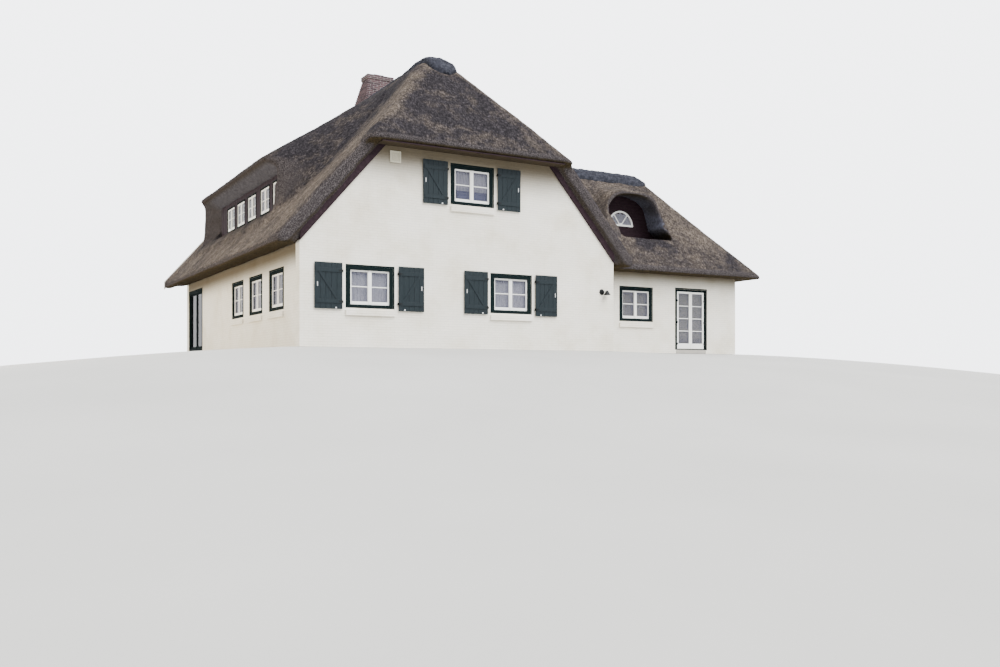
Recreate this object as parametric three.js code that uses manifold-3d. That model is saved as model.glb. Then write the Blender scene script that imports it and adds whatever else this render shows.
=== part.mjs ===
// A thatched cottage with a half-hipped main house, a hipped side wing and two thatched dormers.
// Millimetres, +Z up. The house is laid out from the foot of its front left corner: X runs right
// along the front gable and Y runs back along the ridge. The last lines centre it on the origin.
import * as THREE from 'three';
import { mergeVertices } from 'three/addons/utils/BufferGeometryUtils.js';
import Module from 'manifold-3d';

const wasm = await Module();
wasm.setup();

// Driving dimensions
const GAP = 0.3;                    // between touching solids
const FAR = 20000;                  // reach of a cutting block
const WALL = 300;                   // masonry thickness

const HOUSE_WIDTH = 9490;
const HOUSE_LENGTH = 12950;
const RIDGE_X = HOUSE_WIDTH / 2;
const WALL_TOP = 2590;
const FLOOR_TOP = 120;
const CEILING_DEPTH = 170;
const CEILING_BEARING = 160;        // how far in from the wall face the upper floor starts

const ROOF_RISE = 1.15;             // rise of the side slopes for each unit of run
const HIP_RISE = 1.19;              // rise of the half hips
const ROOF_DEPTH = 810;             // thatch, battens and rafters, measured upright
const THATCH_DEPTH = 500;           // the thatch alone, at the verges
const EAVE_REACH = 600;
const EAVE_SOFFIT = 2500;
const FRONT_VERGE = 200;            // thatch past the front gable wall
const BACK_VERGE = 1050;
const HIP_REACH = 300;              // half-hip eave past the verge
const HIP_SOFFIT = 5200;
const HIP_EAVE = 5350;              // top of the thatch at the half-hip's edge
const RIDGE_ROUNDING = 1900;
const HIP_ROUNDING = 500;

const WING_LEFT = HOUSE_WIDTH;
const WING_RIGHT = 15480;
const WING_FRONT = 1200;
const WING_BACK = 6400;
const WING_RIDGE_Y = (WING_FRONT + WING_BACK) / 2;
const WING_HIP_RISE = 1.28;
const WING_RIDGE_ROUNDING = 1000;

const CAP_DEPTH = 110;              // heather ridge caps
const CAP_HALF_WIDTH = 640;
const WING_CAP_HALF_WIDTH = 520;

const CHIMNEY = { y: 6875, foot: [550, 610], batterFrom: 8000, neck: 8990, top: 9130 };
const CHIMNEY_HEAD = { x: 4805, y: 6665, half: [440, 265], corbel: 25 };  // only two faces lean in to it
const FLUE_COVER = { half: [170, 130], height: 60 };

const DORMER = { wallX: 800, edgeX: 300, near: 3880, far: 12250, farRim: 12400 };
const HOOD = { edgeTop: 5520, rise: 0.66, depth: 800 };
const DORMER_SWELL = { start: 2300, full: 4350, falling: 12250, gone: 13700 };  // along the eaves
const CHEEK = { from: 400, to: 600, spread: [0.25, 1], closing: 1.5 };  // up the slope, at both ends
const LIP = 70;                     // the hood's front edge, over the underside that slants to the boards
const HOOD_CORNER = 80;             // rounding of the space under the hood
const HOOD_STEPS = { lip: 50, cheek: 55, swell: 130, plain: 1200, slope: 400, turn: 220 };
const EYEBROW_STEPS = [125, 210];
const DORMER_ROOM = { near: 3880, far: 11050, sill: 4080, lipFoot: 3745, end: 4050, wall: 100 };
const DORMER_WINDOWS = [4400, 5690, 7140, 8440, 9700];
const DORMER_WINDOW = { width: 980, bottom: 4120, height: 830 };
const EYEBROW = { x: 11630, top: 5200, edgeY: 1750, rise: 0.25, fall: 390, power: 5, blend: 400, reach: 2000 };
const NICHE = { left: 10970, right: 13050, mouthY: 1350, wallY: 2500, wall: 80, lining: 200 };
const NICHE_FLOOR = { front: 3570, back: 3790 };
const NICHE_ARCH = { spring: 4250, half: 1020, height: 820, fullness: 2.5 };
const NICHE_SPREAD = { sides: 60, lift: 100, foot: 140 };  // how much larger it is at its back wall
const NICHE_SIDES = { left: [[10630, 4340], [10830, 3970]], right: [[12650, 4010], [12880, 3800]] };
const FEATHER = 30;                 // a swelling starts this far under the slope it grows out of
const TROUGH_LAP = 20;              // the cut for a boarded front runs this far into the room behind it
const FAN = { x: 11650, radius: 500, bottom: 4190, border: 60 };

const WINDOW = { width: 1250, bottom: 985, height: 1055, border: 80, depth: 90, setBack: 30 };
const UPPER_WINDOW_BOTTOM = 3840;
const SILL = { width: 1330, height: 130, reach: 50, drop: 55 };
const SHUTTER = { width: 725, height: 1150, thickness: 30, bottomDrop: 45, edgeGap: 15 };
const PINTLE = { standOff: 35, pin: 6, eye: 13, clearance: 0.6, height: 40, inset: 170 };
const FRONT_WINDOWS = [1845, 6000, 4785];
const LEFT_WINDOWS = [1930, 3890, 5840];
const RIGHT_WINDOW = 9800;
const WING_WINDOW = 11280;
const WING_BACK_WINDOW = 12500;
const WING_END_WINDOW = 3800;
const GARDEN_GLAZING = { y: 11540, width: 2080, top: 2240 };
const DOOR = { x: 13540, width: 1280, top: 2085, border: 70, thickness: 45, clearance: 6, threshold: 30 };
const DOOR_PANEL = { stile: 85, foot: 180 };
const BARGE = { depth: 300, thickness: 50, soffit: 25, proud: 40 };
const VENT = { x: 2530, z: 4905, size: 300, thickness: 30 };
const LAMP = { x: 9060, z: 1720, plate: 85, plateDepth: 22, armY: -110, reach: 180, shade: [85, 30, 130] };

const COLOURS = {
  limewash: 0xe5e3dc, thatch: 0x7a7268, heather: 0x4a4c5c, brick: 0x9a6a66, boards: 0x4a3035,
  frames: 0x1d2a2b, joinery: 0xf2f1ec, shutters: 0x2e3f48, glass: 0x8c979c, sill: 0xd8d3c4,
  screed: 0xa8a49c, timber: 0xb8a284, iron: 0x1b1c1d,
};

// Making and joining solids

function toSolid(geometry) {
  const plain = geometry.index ? geometry.toNonIndexed() : geometry.clone();
  plain.deleteAttribute('normal');
  plain.deleteAttribute('uv');
  const merged = mergeVertices(plain, 0.01);
  const vertProperties = new Float32Array(merged.attributes.position.array);
  const triVerts = new Uint32Array(merged.index.array);
  return new wasm.Manifold(new wasm.Mesh({ numProp: 3, vertProperties, triVerts }));
}

function toGeometry(solid) {
  const mesh = solid.getMesh();
  const geometry = new THREE.BufferGeometry();
  geometry.setAttribute('position', new THREE.BufferAttribute(new Float32Array(mesh.vertProperties), 3));
  geometry.setIndex(new THREE.BufferAttribute(new Uint32Array(mesh.triVerts), 1));
  geometry.computeVertexNormals();
  return geometry;
}

function block(x0, x1, y0, y1, z0, z1) {
  const geometry = new THREE.BoxGeometry(x1 - x0, y1 - y0, z1 - z0);
  geometry.translate((x0 + x1) / 2, (y0 + y1) / 2, (z0 + z1) / 2);
  return toSolid(geometry);
}

// A solid between two outlines with the same number of corners, given as arrays of Vector3.
function loft(first, last) {
  const count = first.length;
  const normal = new THREE.Vector3();
  const across = new THREE.Vector3().subVectors(last[0], first[0]);
  for (let i = 0; i < count; i += 1) {
    normal.add(new THREE.Vector3().crossVectors(first[i], first[(i + 1) % count]));
  }
  const flip = normal.dot(across) < 0;
  const start = flip ? [...first].reverse() : first;
  const end = flip ? [...last].reverse() : last;
  const u = new THREE.Vector3().subVectors(start[1], start[0]).normalize();
  const v = new THREE.Vector3().crossVectors(normal.normalize().multiplyScalar(flip ? -1 : 1), u);
  const flat = start.map((p) => new THREE.Vector2(p.dot(u), p.dot(v)));
  const faces = [];
  for (const [a, b, c] of THREE.ShapeUtils.triangulateShape(flat, [])) {
    faces.push([start[a], start[c], start[b]]);
    faces.push([end[a], end[b], end[c]]);
  }
  for (let i = 0; i < count; i += 1) {
    const j = (i + 1) % count;
    faces.push([start[i], start[j], end[j]]);
    faces.push([start[i], end[j], end[i]]);
  }
  const geometry = new THREE.BufferGeometry();
  const corners = faces.flat().flatMap((p) => [p.x, p.y, p.z]);
  geometry.setAttribute('position', new THREE.Float32BufferAttribute(corners, 3));
  return toSolid(geometry);
}

// An outline of [x, z] corners carried from one Y to another.
function alongY(outline, y0, y1) {
  const at = (y) => outline.map(([x, z]) => new THREE.Vector3(x, y, z));
  return loft(at(y0), at(y1));
}

// An outline of [x, y] corners raised from one height to another.
function upright(outline, z0, z1) {
  const at = (z) => outline.map(([x, y]) => new THREE.Vector3(x, y, z));
  return loft(at(z0), at(z1));
}

// An outline of [y, z] corners carried from one X to another.
function alongX(outline, x0, x1) {
  const at = (x) => outline.map(([y, z]) => new THREE.Vector3(x, y, z));
  return loft(at(x0), at(x1));
}

function numbers(from, to, step) {
  const count = Math.max(1, Math.round(Math.abs(to - from) / step));
  return Array.from({ length: count + 1 }, (_, i) => from + ((to - from) * i) / count);
}

// Everything between a level bottom and a surface given as a height at each place in plan.
// Each square of the surface is divided along its higher diagonal, which keeps the hips sharp.
function under(surface, xs, ys, bottom) {
  const corners = [];
  const index = [];
  const columns = xs.length;
  const layer = columns * ys.length;
  for (const y of ys) for (const x of xs) corners.push(x, y, surface(x, y));
  for (const y of ys) for (const x of xs) corners.push(x, y, bottom);
  const quad = (a, b, c, d) => index.push(a, b, c, a, c, d);
  const height = (corner) => corners[3 * corner + 2];
  for (let j = 0; j < ys.length - 1; j += 1) {
    for (let i = 0; i < columns - 1; i += 1) {
      const a = j * columns + i;
      const [b, c, d] = [a + 1, a + columns + 1, a + columns];
      if (height(a) + height(c) >= height(b) + height(d)) quad(a, b, c, d);
      else quad(b, c, d, a);
      quad(layer + a, layer + d, layer + c, layer + b);
    }
  }
  for (let i = 0; i < columns - 1; i += 1) {
    const far = layer - columns + i;
    quad(i, layer + i, layer + i + 1, i + 1);
    quad(far, far + 1, layer + far + 1, layer + far);
  }
  for (let j = 0; j < ys.length - 1; j += 1) {
    const left = j * columns;
    const right = left + columns - 1;
    quad(left, left + columns, layer + left + columns, layer + left);
    quad(right, layer + right, layer + right + columns, right + columns);
  }
  const vertProperties = new Float32Array(corners);
  const triVerts = new Uint32Array(index);
  return new wasm.Manifold(new wasm.Mesh({ numProp: 3, vertProperties, triVerts }));
}

const cottage = new THREE.Group();

function addPart(name, solid, colour, roughness = 0.8, metalness = 0) {
  const material = new THREE.MeshStandardMaterial({ color: colour, roughness, metalness });
  const part = new THREE.Mesh(toGeometry(solid), material);
  part.name = name;
  cottage.add(part);
}

function joined(solids) {
  return solids.reduce((whole, solid) => whole.add(solid));
}

// The lower of two heights, rounded where they are within a given difference of each other.
function roundedMin(a, b, rounding) {
  const closeness = Math.max(rounding - Math.abs(a - b), 0) / rounding;
  return Math.min(a, b) - (closeness * closeness * rounding) / 4;
}

function roundedMax(a, b, rounding) {
  return -roundedMin(-a, -b, rounding);
}

function smoothStep(from, to, value) {
  const share = THREE.MathUtils.clamp((value - from) / (to - from), 0, 1);
  return share * share * (3 - 2 * share);
}

// Roof surfaces

const FRONT_EDGE = -(FRONT_VERGE + HIP_REACH);
const BACK_EDGE = HOUSE_LENGTH + BACK_VERGE + HIP_REACH;
const HIP_DEPTH = HIP_EAVE - HIP_RISE * FRONT_EDGE - HIP_SOFFIT;
const BACK_GABLE_TOP = HIP_SOFFIT + HIP_RISE * (BACK_EDGE - HOUSE_LENGTH + FRONT_EDGE);

function mainRoof(x, y) {
  const left = WALL_TOP + ROOF_DEPTH + ROOF_RISE * x;
  const right = WALL_TOP + ROOF_DEPTH + ROOF_RISE * (HOUSE_WIDTH - x);
  const front = HIP_EAVE + HIP_RISE * (y - FRONT_EDGE);
  const back = HIP_EAVE + HIP_RISE * (BACK_EDGE - y);
  const sides = roundedMin(left, right, RIDGE_ROUNDING);
  return roundedMin(roundedMin(sides, front, HIP_ROUNDING), back, HIP_ROUNDING);
}

function wingRoof(x, y) {
  const atWalls = WALL_TOP + ROOF_DEPTH;
  const front = atWalls + ROOF_RISE * (y - WING_FRONT);
  const back = atWalls + ROOF_RISE * (WING_BACK - y);
  const hip = atWalls + WING_HIP_RISE * (WING_RIGHT - x);
  return roundedMin(roundedMin(front, back, WING_RIDGE_ROUNDING), hip, HIP_ROUNDING);
}

const GRID = 350;
const MAIN_XS = numbers(-EAVE_REACH, HOUSE_WIDTH + EAVE_REACH, GRID);
const MAIN_YS = numbers(FRONT_EDGE, BACK_EDGE, GRID);
const WING_XS = numbers(RIDGE_X, WING_RIGHT + EAVE_REACH, GRID);
const WING_YS = numbers(WING_FRONT - EAVE_REACH, WING_BACK + EAVE_REACH, GRID);

function underMain(lift = 0) {
  return under((x, y) => mainRoof(x, y) + lift, MAIN_XS, MAIN_YS, -100);
}

function underWing(lift = 0) {
  return under((x, y) => wingRoof(x, y) + lift, WING_XS, WING_YS, -100);
}

// Everything below a ridge between two eaves that carry on down, as an outline.
function gableOutline(low, high, height, rise) {
  const [middle, run] = [(low + high) / 2, FAR + (high - low) / 2];
  const peak = height + (rise * (high - low)) / 2;
  const eave = peak - rise * run;
  return [[middle, peak], [middle - run, eave], [middle + run, eave]];
}

// The plain sloping underside of the main roof, at a depth below its outside at the side walls.
function mainRafters(depth, hipDepth) {
  const sides = gableOutline(0, HOUSE_WIDTH, WALL_TOP + ROOF_DEPTH - depth, ROOF_RISE);
  const ends = gableOutline(FRONT_EDGE, BACK_EDGE, HIP_EAVE - hipDepth, HIP_RISE);
  return alongY(sides, -FAR, FAR).intersect(alongX(ends, -FAR, FAR));
}

function wingRafters() {
  const sides = gableOutline(WING_FRONT, WING_BACK, WALL_TOP, ROOF_RISE);
  const rise = WING_HIP_RISE * FAR;
  const hip = [[WING_RIGHT + FAR, WALL_TOP - rise], [WING_RIGHT - FAR, WALL_TOP + rise], [-FAR, -FAR - rise]];
  return alongX(sides, -FAR, FAR).intersect(alongY(hip, -FAR, FAR));
}

// The whole thatch of the main house before it is divided into slopes.
function mainThatch() {
  const verges = block(-FAR, FAR, -FRONT_VERGE, HOUSE_LENGTH + BACK_VERGE, EAVE_SOFFIT, FAR);
  const hips = block(-FAR, FAR, FRONT_EDGE - 1, BACK_EDGE + 1, HIP_SOFFIT, FAR);
  const overWalls = block(-FAR, FAR, 0, HOUSE_LENGTH, -FAR, FAR);
  const outside = block(-FAR, FAR, -FAR, FAR, -FAR, FAR).subtract(overWalls);
  const thick = underMain().subtract(mainRafters(ROOF_DEPTH, HIP_DEPTH)).intersect(overWalls);
  const thin = underMain().subtract(mainRafters(THATCH_DEPTH, THATCH_DEPTH)).intersect(outside);
  return thick.add(thin).intersect(verges.add(hips)).subtract(chimneyMass(GAP));
}

const HIP_CORNER = (HIP_EAVE - WALL_TOP - ROOF_DEPTH) / ROOF_RISE;
const HIP_RUN = (RIDGE_X - HIP_CORNER) * (ROOF_RISE / HIP_RISE);

// The part of the plan that a half hip covers, from its eave up to the ridge.
function hipRegion(edge, inward, grow) {
  const outer = edge - inward * 2000;
  const left = HIP_CORNER - (2000 * HIP_RISE) / ROOF_RISE;
  const outline = [
    [left - grow, outer],
    [RIDGE_X, edge + inward * (HIP_RUN + grow)],
    [HOUSE_WIDTH - left + grow, outer],
  ];
  return upright(outline, HIP_SOFFIT - 400, FAR);
}

function arc(centre, radius, from, to, step) {
  return numbers(from, to, step).map((angle) => {
    const turn = THREE.MathUtils.degToRad(angle);
    return [centre[0] + radius[0] * Math.cos(turn), centre[1] + radius[1] * Math.sin(turn)];
  });
}

// The dormer hood as an outline of [y, z] corners with rounded shoulders.
function hoodOutline(near, far, top, bottom, radius) {
  return [
    [near, bottom],
    ...arc([near + radius, top - radius], [radius, radius], 180, 90, 18),
    ...arc([far - radius, top - radius], [radius, radius], 90, 0, 18),
    [far, bottom],
  ];
}

function hoodSection(x, outline) {
  const lift = HOOD.rise * (x - DORMER.edgeX);
  const last = outline.length - 1;
  return outline.map(([y, z], i) => new THREE.Vector3(x, y, i === 0 || i === last ? z : z + lift));
}

// How much of the hood's height stands at a place up the slope. It has a steep cheek at each end
// of the windows, which lies down as it spreads over the slope away from them.
function cheekShare(x, y) {
  const out = Math.max(DORMER.near - y, y - DORMER.farRim);
  const shifts = out > 0 ? CHEEK.spread : [CHEEK.closing, CHEEK.closing];
  return smoothStep(CHEEK.from + shifts[0] * out, CHEEK.to + shifts[1] * out, x);
}

function hoodRoof(x, y) {
  const { start, full, falling, gone } = DORMER_SWELL;
  const share = smoothStep(start, full, y) * (1 - smoothStep(falling, gone, y)) * cheekShare(x, y);
  const hood = HOOD.edgeTop + HOOD.rise * (x - DORMER.edgeX);
  const slope = WALL_TOP + ROOF_DEPTH + ROOF_RISE * x;
  return slope + share * Math.max(hood - slope, 0) - FEATHER;
}

function hoodMass() {
  const { start, full, falling, gone } = DORMER_SWELL;
  const { edgeX, wallX, near, farRim } = DORMER;
  const { lip, cheek, swell, plain, slope, turn } = HOOD_STEPS;
  const xs = [
    ...numbers(edgeX, wallX, lip), ...numbers(wallX + swell, 2 * wallX, swell),
    ...numbers(2 * wallX + slope, DORMER_ROOM.end + 2 * lip, slope),
  ];
  const ys = [
    ...numbers(start, near, swell), ...numbers(near + cheek, near + turn, cheek),
    ...numbers(full, falling - lip, plain),
    ...numbers(farRim - turn + cheek, farRim, cheek), ...numbers(farRim + swell, gone, swell),
  ];
  return under(hoodRoof, xs, ys, EAVE_SOFFIT);
}

// In front of the boards the hood is a lip with an underside that slants back down to them.
function dormerOuter() {
  const { edgeX, wallX, near, farRim } = DORMER;
  const below = [
    [edgeX - FAR, -FAR], [wallX, -FAR], [wallX, hoodUnderside(wallX)],
    [edgeX, HOOD.edgeTop - LIP], [edgeX - FAR, HOOD.edgeTop - LIP],
  ];
  return hoodMass().subtract(alongY(below, near, farRim));
}

function hoodUnderside(x) {
  return HOOD.edgeTop - HOOD.depth + HOOD.rise * (x - DORMER.edgeX);
}

function dormerInner(shrink, x0 = 0) {
  const top = HOOD.edgeTop - HOOD.depth - shrink;
  const outline = hoodOutline(DORMER.near + shrink, DORMER.far - shrink, top, 2900, HOOD_CORNER);
  return loft(hoodSection(x0, outline), hoodSection(DORMER_ROOM.end, outline));
}

// Thatch dressed back in front of the dormer windows, down to their sills.
function dormerTrough() {
  const { near, far, sill, wall, lipFoot } = DORMER_ROOM;
  const back = DORMER.wallX + wall + TROUGH_LAP;
  const outline = [[DORMER.edgeX, lipFoot], [DORMER.wallX, sill], [back, sill], [back, 5400], [DORMER.edgeX, 5400]];
  return alongY(outline, near - GAP, far + GAP);
}

function dormerRoom() {
  const { near, far, end, wall } = DORMER_ROOM;
  const behind = block(DORMER.wallX + wall + GAP, end, near + 100, far - 100, 0, FAR);
  return behind.intersect(dormerInner(0));
}

// The hood's far reveal splays back from its edge to the end of the boards.
function dormerReveal() {
  const { wallX, farRim } = DORMER;
  const end = DORMER_ROOM.far + GAP;
  const outline = [[CHEEK.from + 70, farRim], [wallX + 200, farRim], [wallX + 200, end], [wallX, end]];
  return upright(outline, 3000, FAR).intersect(hoodMass());
}

function dormerThatch() {
  const hood = dormerOuter().subtract(dormerInner(0));
  const reach = [-FAR, FAR];
  const backHip = under((x, y) => HIP_EAVE + HIP_RISE * (BACK_EDGE - y), reach, reach, -2 * FAR);
  const reachUp = block(0, DORMER_ROOM.end, -FAR, FAR, 0, FAR);
  return hood.add(dormerReveal()).subtract(underMain(GAP)).intersect(backHip).intersect(reachUp);
}

function dormerFront() {
  const { near, far, sill, wall } = DORMER_ROOM;
  const boards = block(DORMER.wallX, DORMER.wallX + wall, near, far, sill + GAP, 6000);
  const { width, bottom, height } = DORMER_WINDOW;
  const openings = DORMER_WINDOWS.map((y) => block(0, 2000, y - width / 2, y + width / 2, bottom, bottom + height));
  return boards.intersect(dormerInner(GAP)).subtract(joined(openings));
}

function thatchLeft(whole, hips) {
  const side = block(-FAR, RIDGE_X - GAP / 2, -FAR, FAR, -FAR, FAR);
  return whole.intersect(side).subtract(hips).subtract(dormerTrough()).subtract(dormerRoom());
}

function thatchRight(whole, hips) {
  const side = block(RIDGE_X + GAP / 2, FAR, -FAR, FAR, -FAR, FAR);
  const wingEaves = [WING_FRONT - EAVE_REACH - GAP, WING_BACK + EAVE_REACH + GAP];
  const wingPlace = block(HOUSE_WIDTH, FAR, ...wingEaves, -FAR, FAR);
  return whole.intersect(side).subtract(hips).subtract(wingPlace);
}

// Side wing roof

function houseRoofPlace() {
  return underMain(GAP).intersect(block(-FAR, HOUSE_WIDTH + GAP, -FAR, FAR, -FAR, FAR));
}

function wingThatch() {
  const eaves = block(-FAR, FAR, -FAR, FAR, EAVE_SOFFIT, FAR);
  const whole = underWing().subtract(wingRafters()).intersect(eaves);
  return whole.subtract(houseRoofPlace()).subtract(nicheLining(GAP)).subtract(niche(0));
}

const WING_HIP_CORNER = WING_RIGHT + (EAVE_REACH * ROOF_RISE) / WING_HIP_RISE;
const WING_RIDGE_END = WING_RIGHT - ((WING_RIDGE_Y - WING_FRONT) * ROOF_RISE) / WING_HIP_RISE;

function wingHipRegion(grow) {
  const slant = (WING_HIP_CORNER - WING_RIDGE_END) / (WING_RIDGE_Y - WING_FRONT + EAVE_REACH);
  const out = 6000;
  const outline = [
    [WING_RIDGE_END - grow, WING_RIDGE_Y],
    [WING_RIDGE_END - grow + slant * out, WING_RIDGE_Y - out],
    [WING_RIDGE_END - grow + slant * out, WING_RIDGE_Y + out],
  ];
  return upright(outline, 0, FAR);
}

// The thatch lifts over the niche like an eyelid, and falls away to both sides.
function eyebrowRoof(x, y) {
  const { x: middle, top, edgeY, rise, fall, power, blend } = EYEBROW;
  const lid = top + rise * (y - edgeY) - fall * (Math.abs(x - middle) / 1000) ** power;
  return roundedMax(wingRoof(x, y), lid, blend) - FEATHER;
}

// The niche's arch at a distance from the front, drawn in by a margin. It widens and rises inwards.
function nicheArch(margin, y) {
  const { left, right, wallY, mouthY } = NICHE;
  const { spring, half, height, fullness } = NICHE_ARCH;
  const { sides, lift, foot } = NICHE_SPREAD;
  const inward = (y - mouthY) / (wallY - mouthY);
  const floor = THREE.MathUtils.lerp(NICHE_FLOOR.front, NICHE_FLOOR.back, inward);
  const across = half + sides * inward - margin;
  const up = height + lift * inward - margin;
  const full = (share) => Math.sign(share) * Math.abs(share) ** (2 / fullness);
  const round = arc([0, 0], [1, 1], 7, 173, 11);
  const lid = round.map(([a, b]) => [EYEBROW.x + across * full(a), spring + up * full(b)]);
  const raised = (z) => spring - ((spring - z) * (spring - floor)) / (spring - NICHE_FLOOR.front);
  const rightSide = NICHE_SIDES.right.map(([x, z]) => [x + foot * inward - 2 * margin, raised(z)]);
  const leftSide = NICHE_SIDES.left.map(([x, z]) => [x + 2 * margin, raised(z)]);
  const corners = [
    [left + 2 * margin, floor + margin], [right + foot * inward - 2 * margin, floor + margin],
    ...rightSide.reverse(), ...lid, ...leftSide,
  ];
  return corners.map(([x, z]) => new THREE.Vector3(x, y, z));
}

function niche(margin) {
  const [outer, inner] = [NICHE.mouthY - 800, NICHE.wallY + 600];
  return loft(nicheArch(margin, outer), nicheArch(margin, inner));
}

// The bed of thatch round the niche, from under its floor up to the eyelid.
function nicheLining(grow) {
  const { right, mouthY, wallY, lining } = NICHE;
  const { sides: spread, foot } = NICHE_SPREAD;
  const sides = [EYEBROW.x - NICHE_ARCH.half - spread - lining - grow, right + foot + lining + grow];
  const depth = [mouthY - lining - grow, wallY + 250 + grow];
  return block(...sides, ...depth, NICHE_FLOOR.front - lining - grow, FAR);
}

function eyebrowThatch() {
  const { x, edgeY, reach } = EYEBROW;
  const xs = numbers(x - reach, x + reach, EYEBROW_STEPS[0]);
  const ys = numbers(edgeY - 600, edgeY + 1500, EYEBROW_STEPS[1]);
  const swelling = under(eyebrowRoof, xs, ys, EAVE_SOFFIT);
  const front = [[edgeY, FAR], [edgeY, 4650], [NICHE.mouthY, 3600], [NICHE.mouthY, -FAR], [FAR, -FAR], [FAR, FAR]];
  const lid = swelling.intersect(alongX(front, -FAR, FAR)).subtract(underWing(GAP));
  const bed = nicheLining(0).intersect(underWing(GAP + 1));
  return lid.add(bed).subtract(niche(0)).subtract(houseRoofPlace());
}

// The fan light's half disc, drawn in by a margin all round, between two depths.
function halfDisc(margin, y0, y1) {
  const { x, radius, bottom } = FAN;
  const disc = alongY(arc([x, bottom], [radius - margin, radius - margin], 0, 180, 12), y0, y1);
  return disc.intersect(block(-FAR, FAR, y0 - 1, y1 + 1, bottom + margin, FAR));
}

function eyebrowFront() {
  const { wallY, wall } = NICHE;
  const boards = niche(GAP).intersect(block(-FAR, FAR, wallY, wallY + wall, 0, FAR));
  return boards.subtract(halfDisc(0, wallY - 50, wallY + wall + 50));
}

function fanWindow() {
  const { wallY } = NICHE;
  const frame = halfDisc(GAP, wallY - 10, wallY + 50).subtract(halfDisc(FAN.border, wallY - 20, wallY + 60));
  return frame.add(halfDisc(FAN.border / 2, wallY + 20, wallY + 28));
}

// Ridge caps and chimney

function roundEnded(x0, x1, y0, y1, alongX) {
  const radius = (alongX ? y1 - y0 : x1 - x0) / 2;
  if (alongX) {
    const y = (y0 + y1) / 2;
    return [...arc([x1 - radius, y], [radius, radius], -90, 90, 15), [x0, y1], [x0, y0]];
  }
  const x = (x0 + x1) / 2;
  return [
    ...arc([x, y1 - radius], [radius, radius], 0, 180, 15),
    ...arc([x, y0 + radius], [radius, radius], 180, 360, 15),
  ];
}

function mainRidgeCap() {
  const ends = [HIP_RUN + FRONT_EDGE - 850, BACK_EDGE - HIP_RUN + 850];
  const plan = roundEnded(RIDGE_X - CAP_HALF_WIDTH, RIDGE_X + CAP_HALF_WIDTH, ...ends, false);
  const coat = underMain(CAP_DEPTH).subtract(underMain(GAP));
  return coat.intersect(upright(plan, 5000, FAR)).subtract(chimneyMass(GAP)).subtract(dormerOuter());
}

function wingRidgeCap() {
  const side = WING_CAP_HALF_WIDTH;
  const plan = roundEnded(RIDGE_X, WING_RIDGE_END + 450, WING_RIDGE_Y - side, WING_RIDGE_Y + side, true);
  const coat = underWing(CAP_DEPTH).subtract(underWing(GAP));
  return coat.intersect(upright(plan, 4000, FAR)).subtract(underMain(GAP));
}

function chimneyMass(grow) {
  const { y, foot, batterFrom, neck } = CHIMNEY;
  const square = (x, middle, [a, b], z) => [
    new THREE.Vector3(x - a - grow, middle - b - grow, z),
    new THREE.Vector3(x + a + grow, middle - b - grow, z),
    new THREE.Vector3(x + a + grow, middle + b + grow, z),
    new THREE.Vector3(x - a - grow, middle + b + grow, z),
  ];
  const [low, high] = [FLOOR_TOP + GAP - grow, batterFrom].map((z) => square(RIDGE_X, y, foot, z));
  return loft(low, high).add(loft(high, square(CHIMNEY_HEAD.x, CHIMNEY_HEAD.y, CHIMNEY_HEAD.half, neck)));
}

function chimney() {
  const { neck, top } = CHIMNEY;
  const { x, y, half, corbel } = CHIMNEY_HEAD;
  const around = (a, b, z0, z1) => block(x - a, x + a, y - b, y + b, z0, z1);
  const head = around(half[0] + corbel, half[1] + corbel, neck, top);
  const flueCover = around(FLUE_COVER.half[0], FLUE_COVER.half[1], top, top + FLUE_COVER.height);
  return joined([chimneyMass(0), head, flueCover]);
}

// Walls and floors

function opening(facing, along, width, bottom, height) {
  const [a0, a1] = [along - width / 2, along + width / 2];
  const top = bottom + height;
  if (facing === 'front') return block(a0, a1, -200, WALL + 200, bottom, top);
  if (facing === 'wingFront') return block(a0, a1, WING_FRONT - 200, WING_FRONT + WALL + 200, bottom, top);
  if (facing === 'back') return block(a0, a1, HOUSE_LENGTH - WALL - 200, HOUSE_LENGTH + 200, bottom, top);
  if (facing === 'wingBack') return block(a0, a1, WING_BACK - WALL - 200, WING_BACK + 200, bottom, top);
  if (facing === 'left') return block(-200, WALL + 200, a0, a1, bottom, top);
  if (facing === 'right') return block(HOUSE_WIDTH - WALL - 200, HOUSE_WIDTH + 200, a0, a1, bottom, top);
  return block(WING_RIGHT - WALL - 200, WING_RIGHT + 200, a0, a1, bottom, top);
}

function windowOpening(facing, along, bottom = WINDOW.bottom) {
  return opening(facing, along, WINDOW.width, bottom, WINDOW.height);
}

function gableWall(y0, y1, height) {
  const slopeEnd = (height - WALL_TOP) / ROOF_RISE;
  const [eave, top] = [WALL_TOP - 2 * GAP, height - 2 * GAP];
  const outline = [
    [0, 0], [HOUSE_WIDTH, 0], [HOUSE_WIDTH, eave],
    [HOUSE_WIDTH - slopeEnd, top], [slopeEnd, top], [0, eave],
  ];
  return alongY(outline, y0, y1);
}

function gableWindowPlaces() {
  const [left, right, upper] = FRONT_WINDOWS;
  return [[left, WINDOW.bottom], [right, WINDOW.bottom], [upper, UPPER_WINDOW_BOTTOM]];
}

// A wall with its windows cut through and a sill built in under each of them.
function pierced(wall, places) {
  const openings = places.map((place) => windowOpening(...place));
  return wall.subtract(joined(openings)).add(joined(places.map((place) => sill(...place))));
}

const FRONT_PLACES = gableWindowPlaces().map(([x, z]) => ['front', x, z]);
const BACK_PLACES = gableWindowPlaces().map(([x, z]) => ['back', x, z]);
const LEFT_PLACES = LEFT_WINDOWS.map((y) => ['left', y]);
const RIGHT_PLACES = [['right', RIGHT_WINDOW]];
const WING_PLACES = [['wingFront', WING_WINDOW], ['wingEnd', WING_END_WINDOW], ['wingBack', WING_BACK_WINDOW]];

const SIDE_FROM = WALL + GAP;
const SIDE_TO = HOUSE_LENGTH - WALL - GAP;
const SIDE_TOP = WALL_TOP - GAP;

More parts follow.
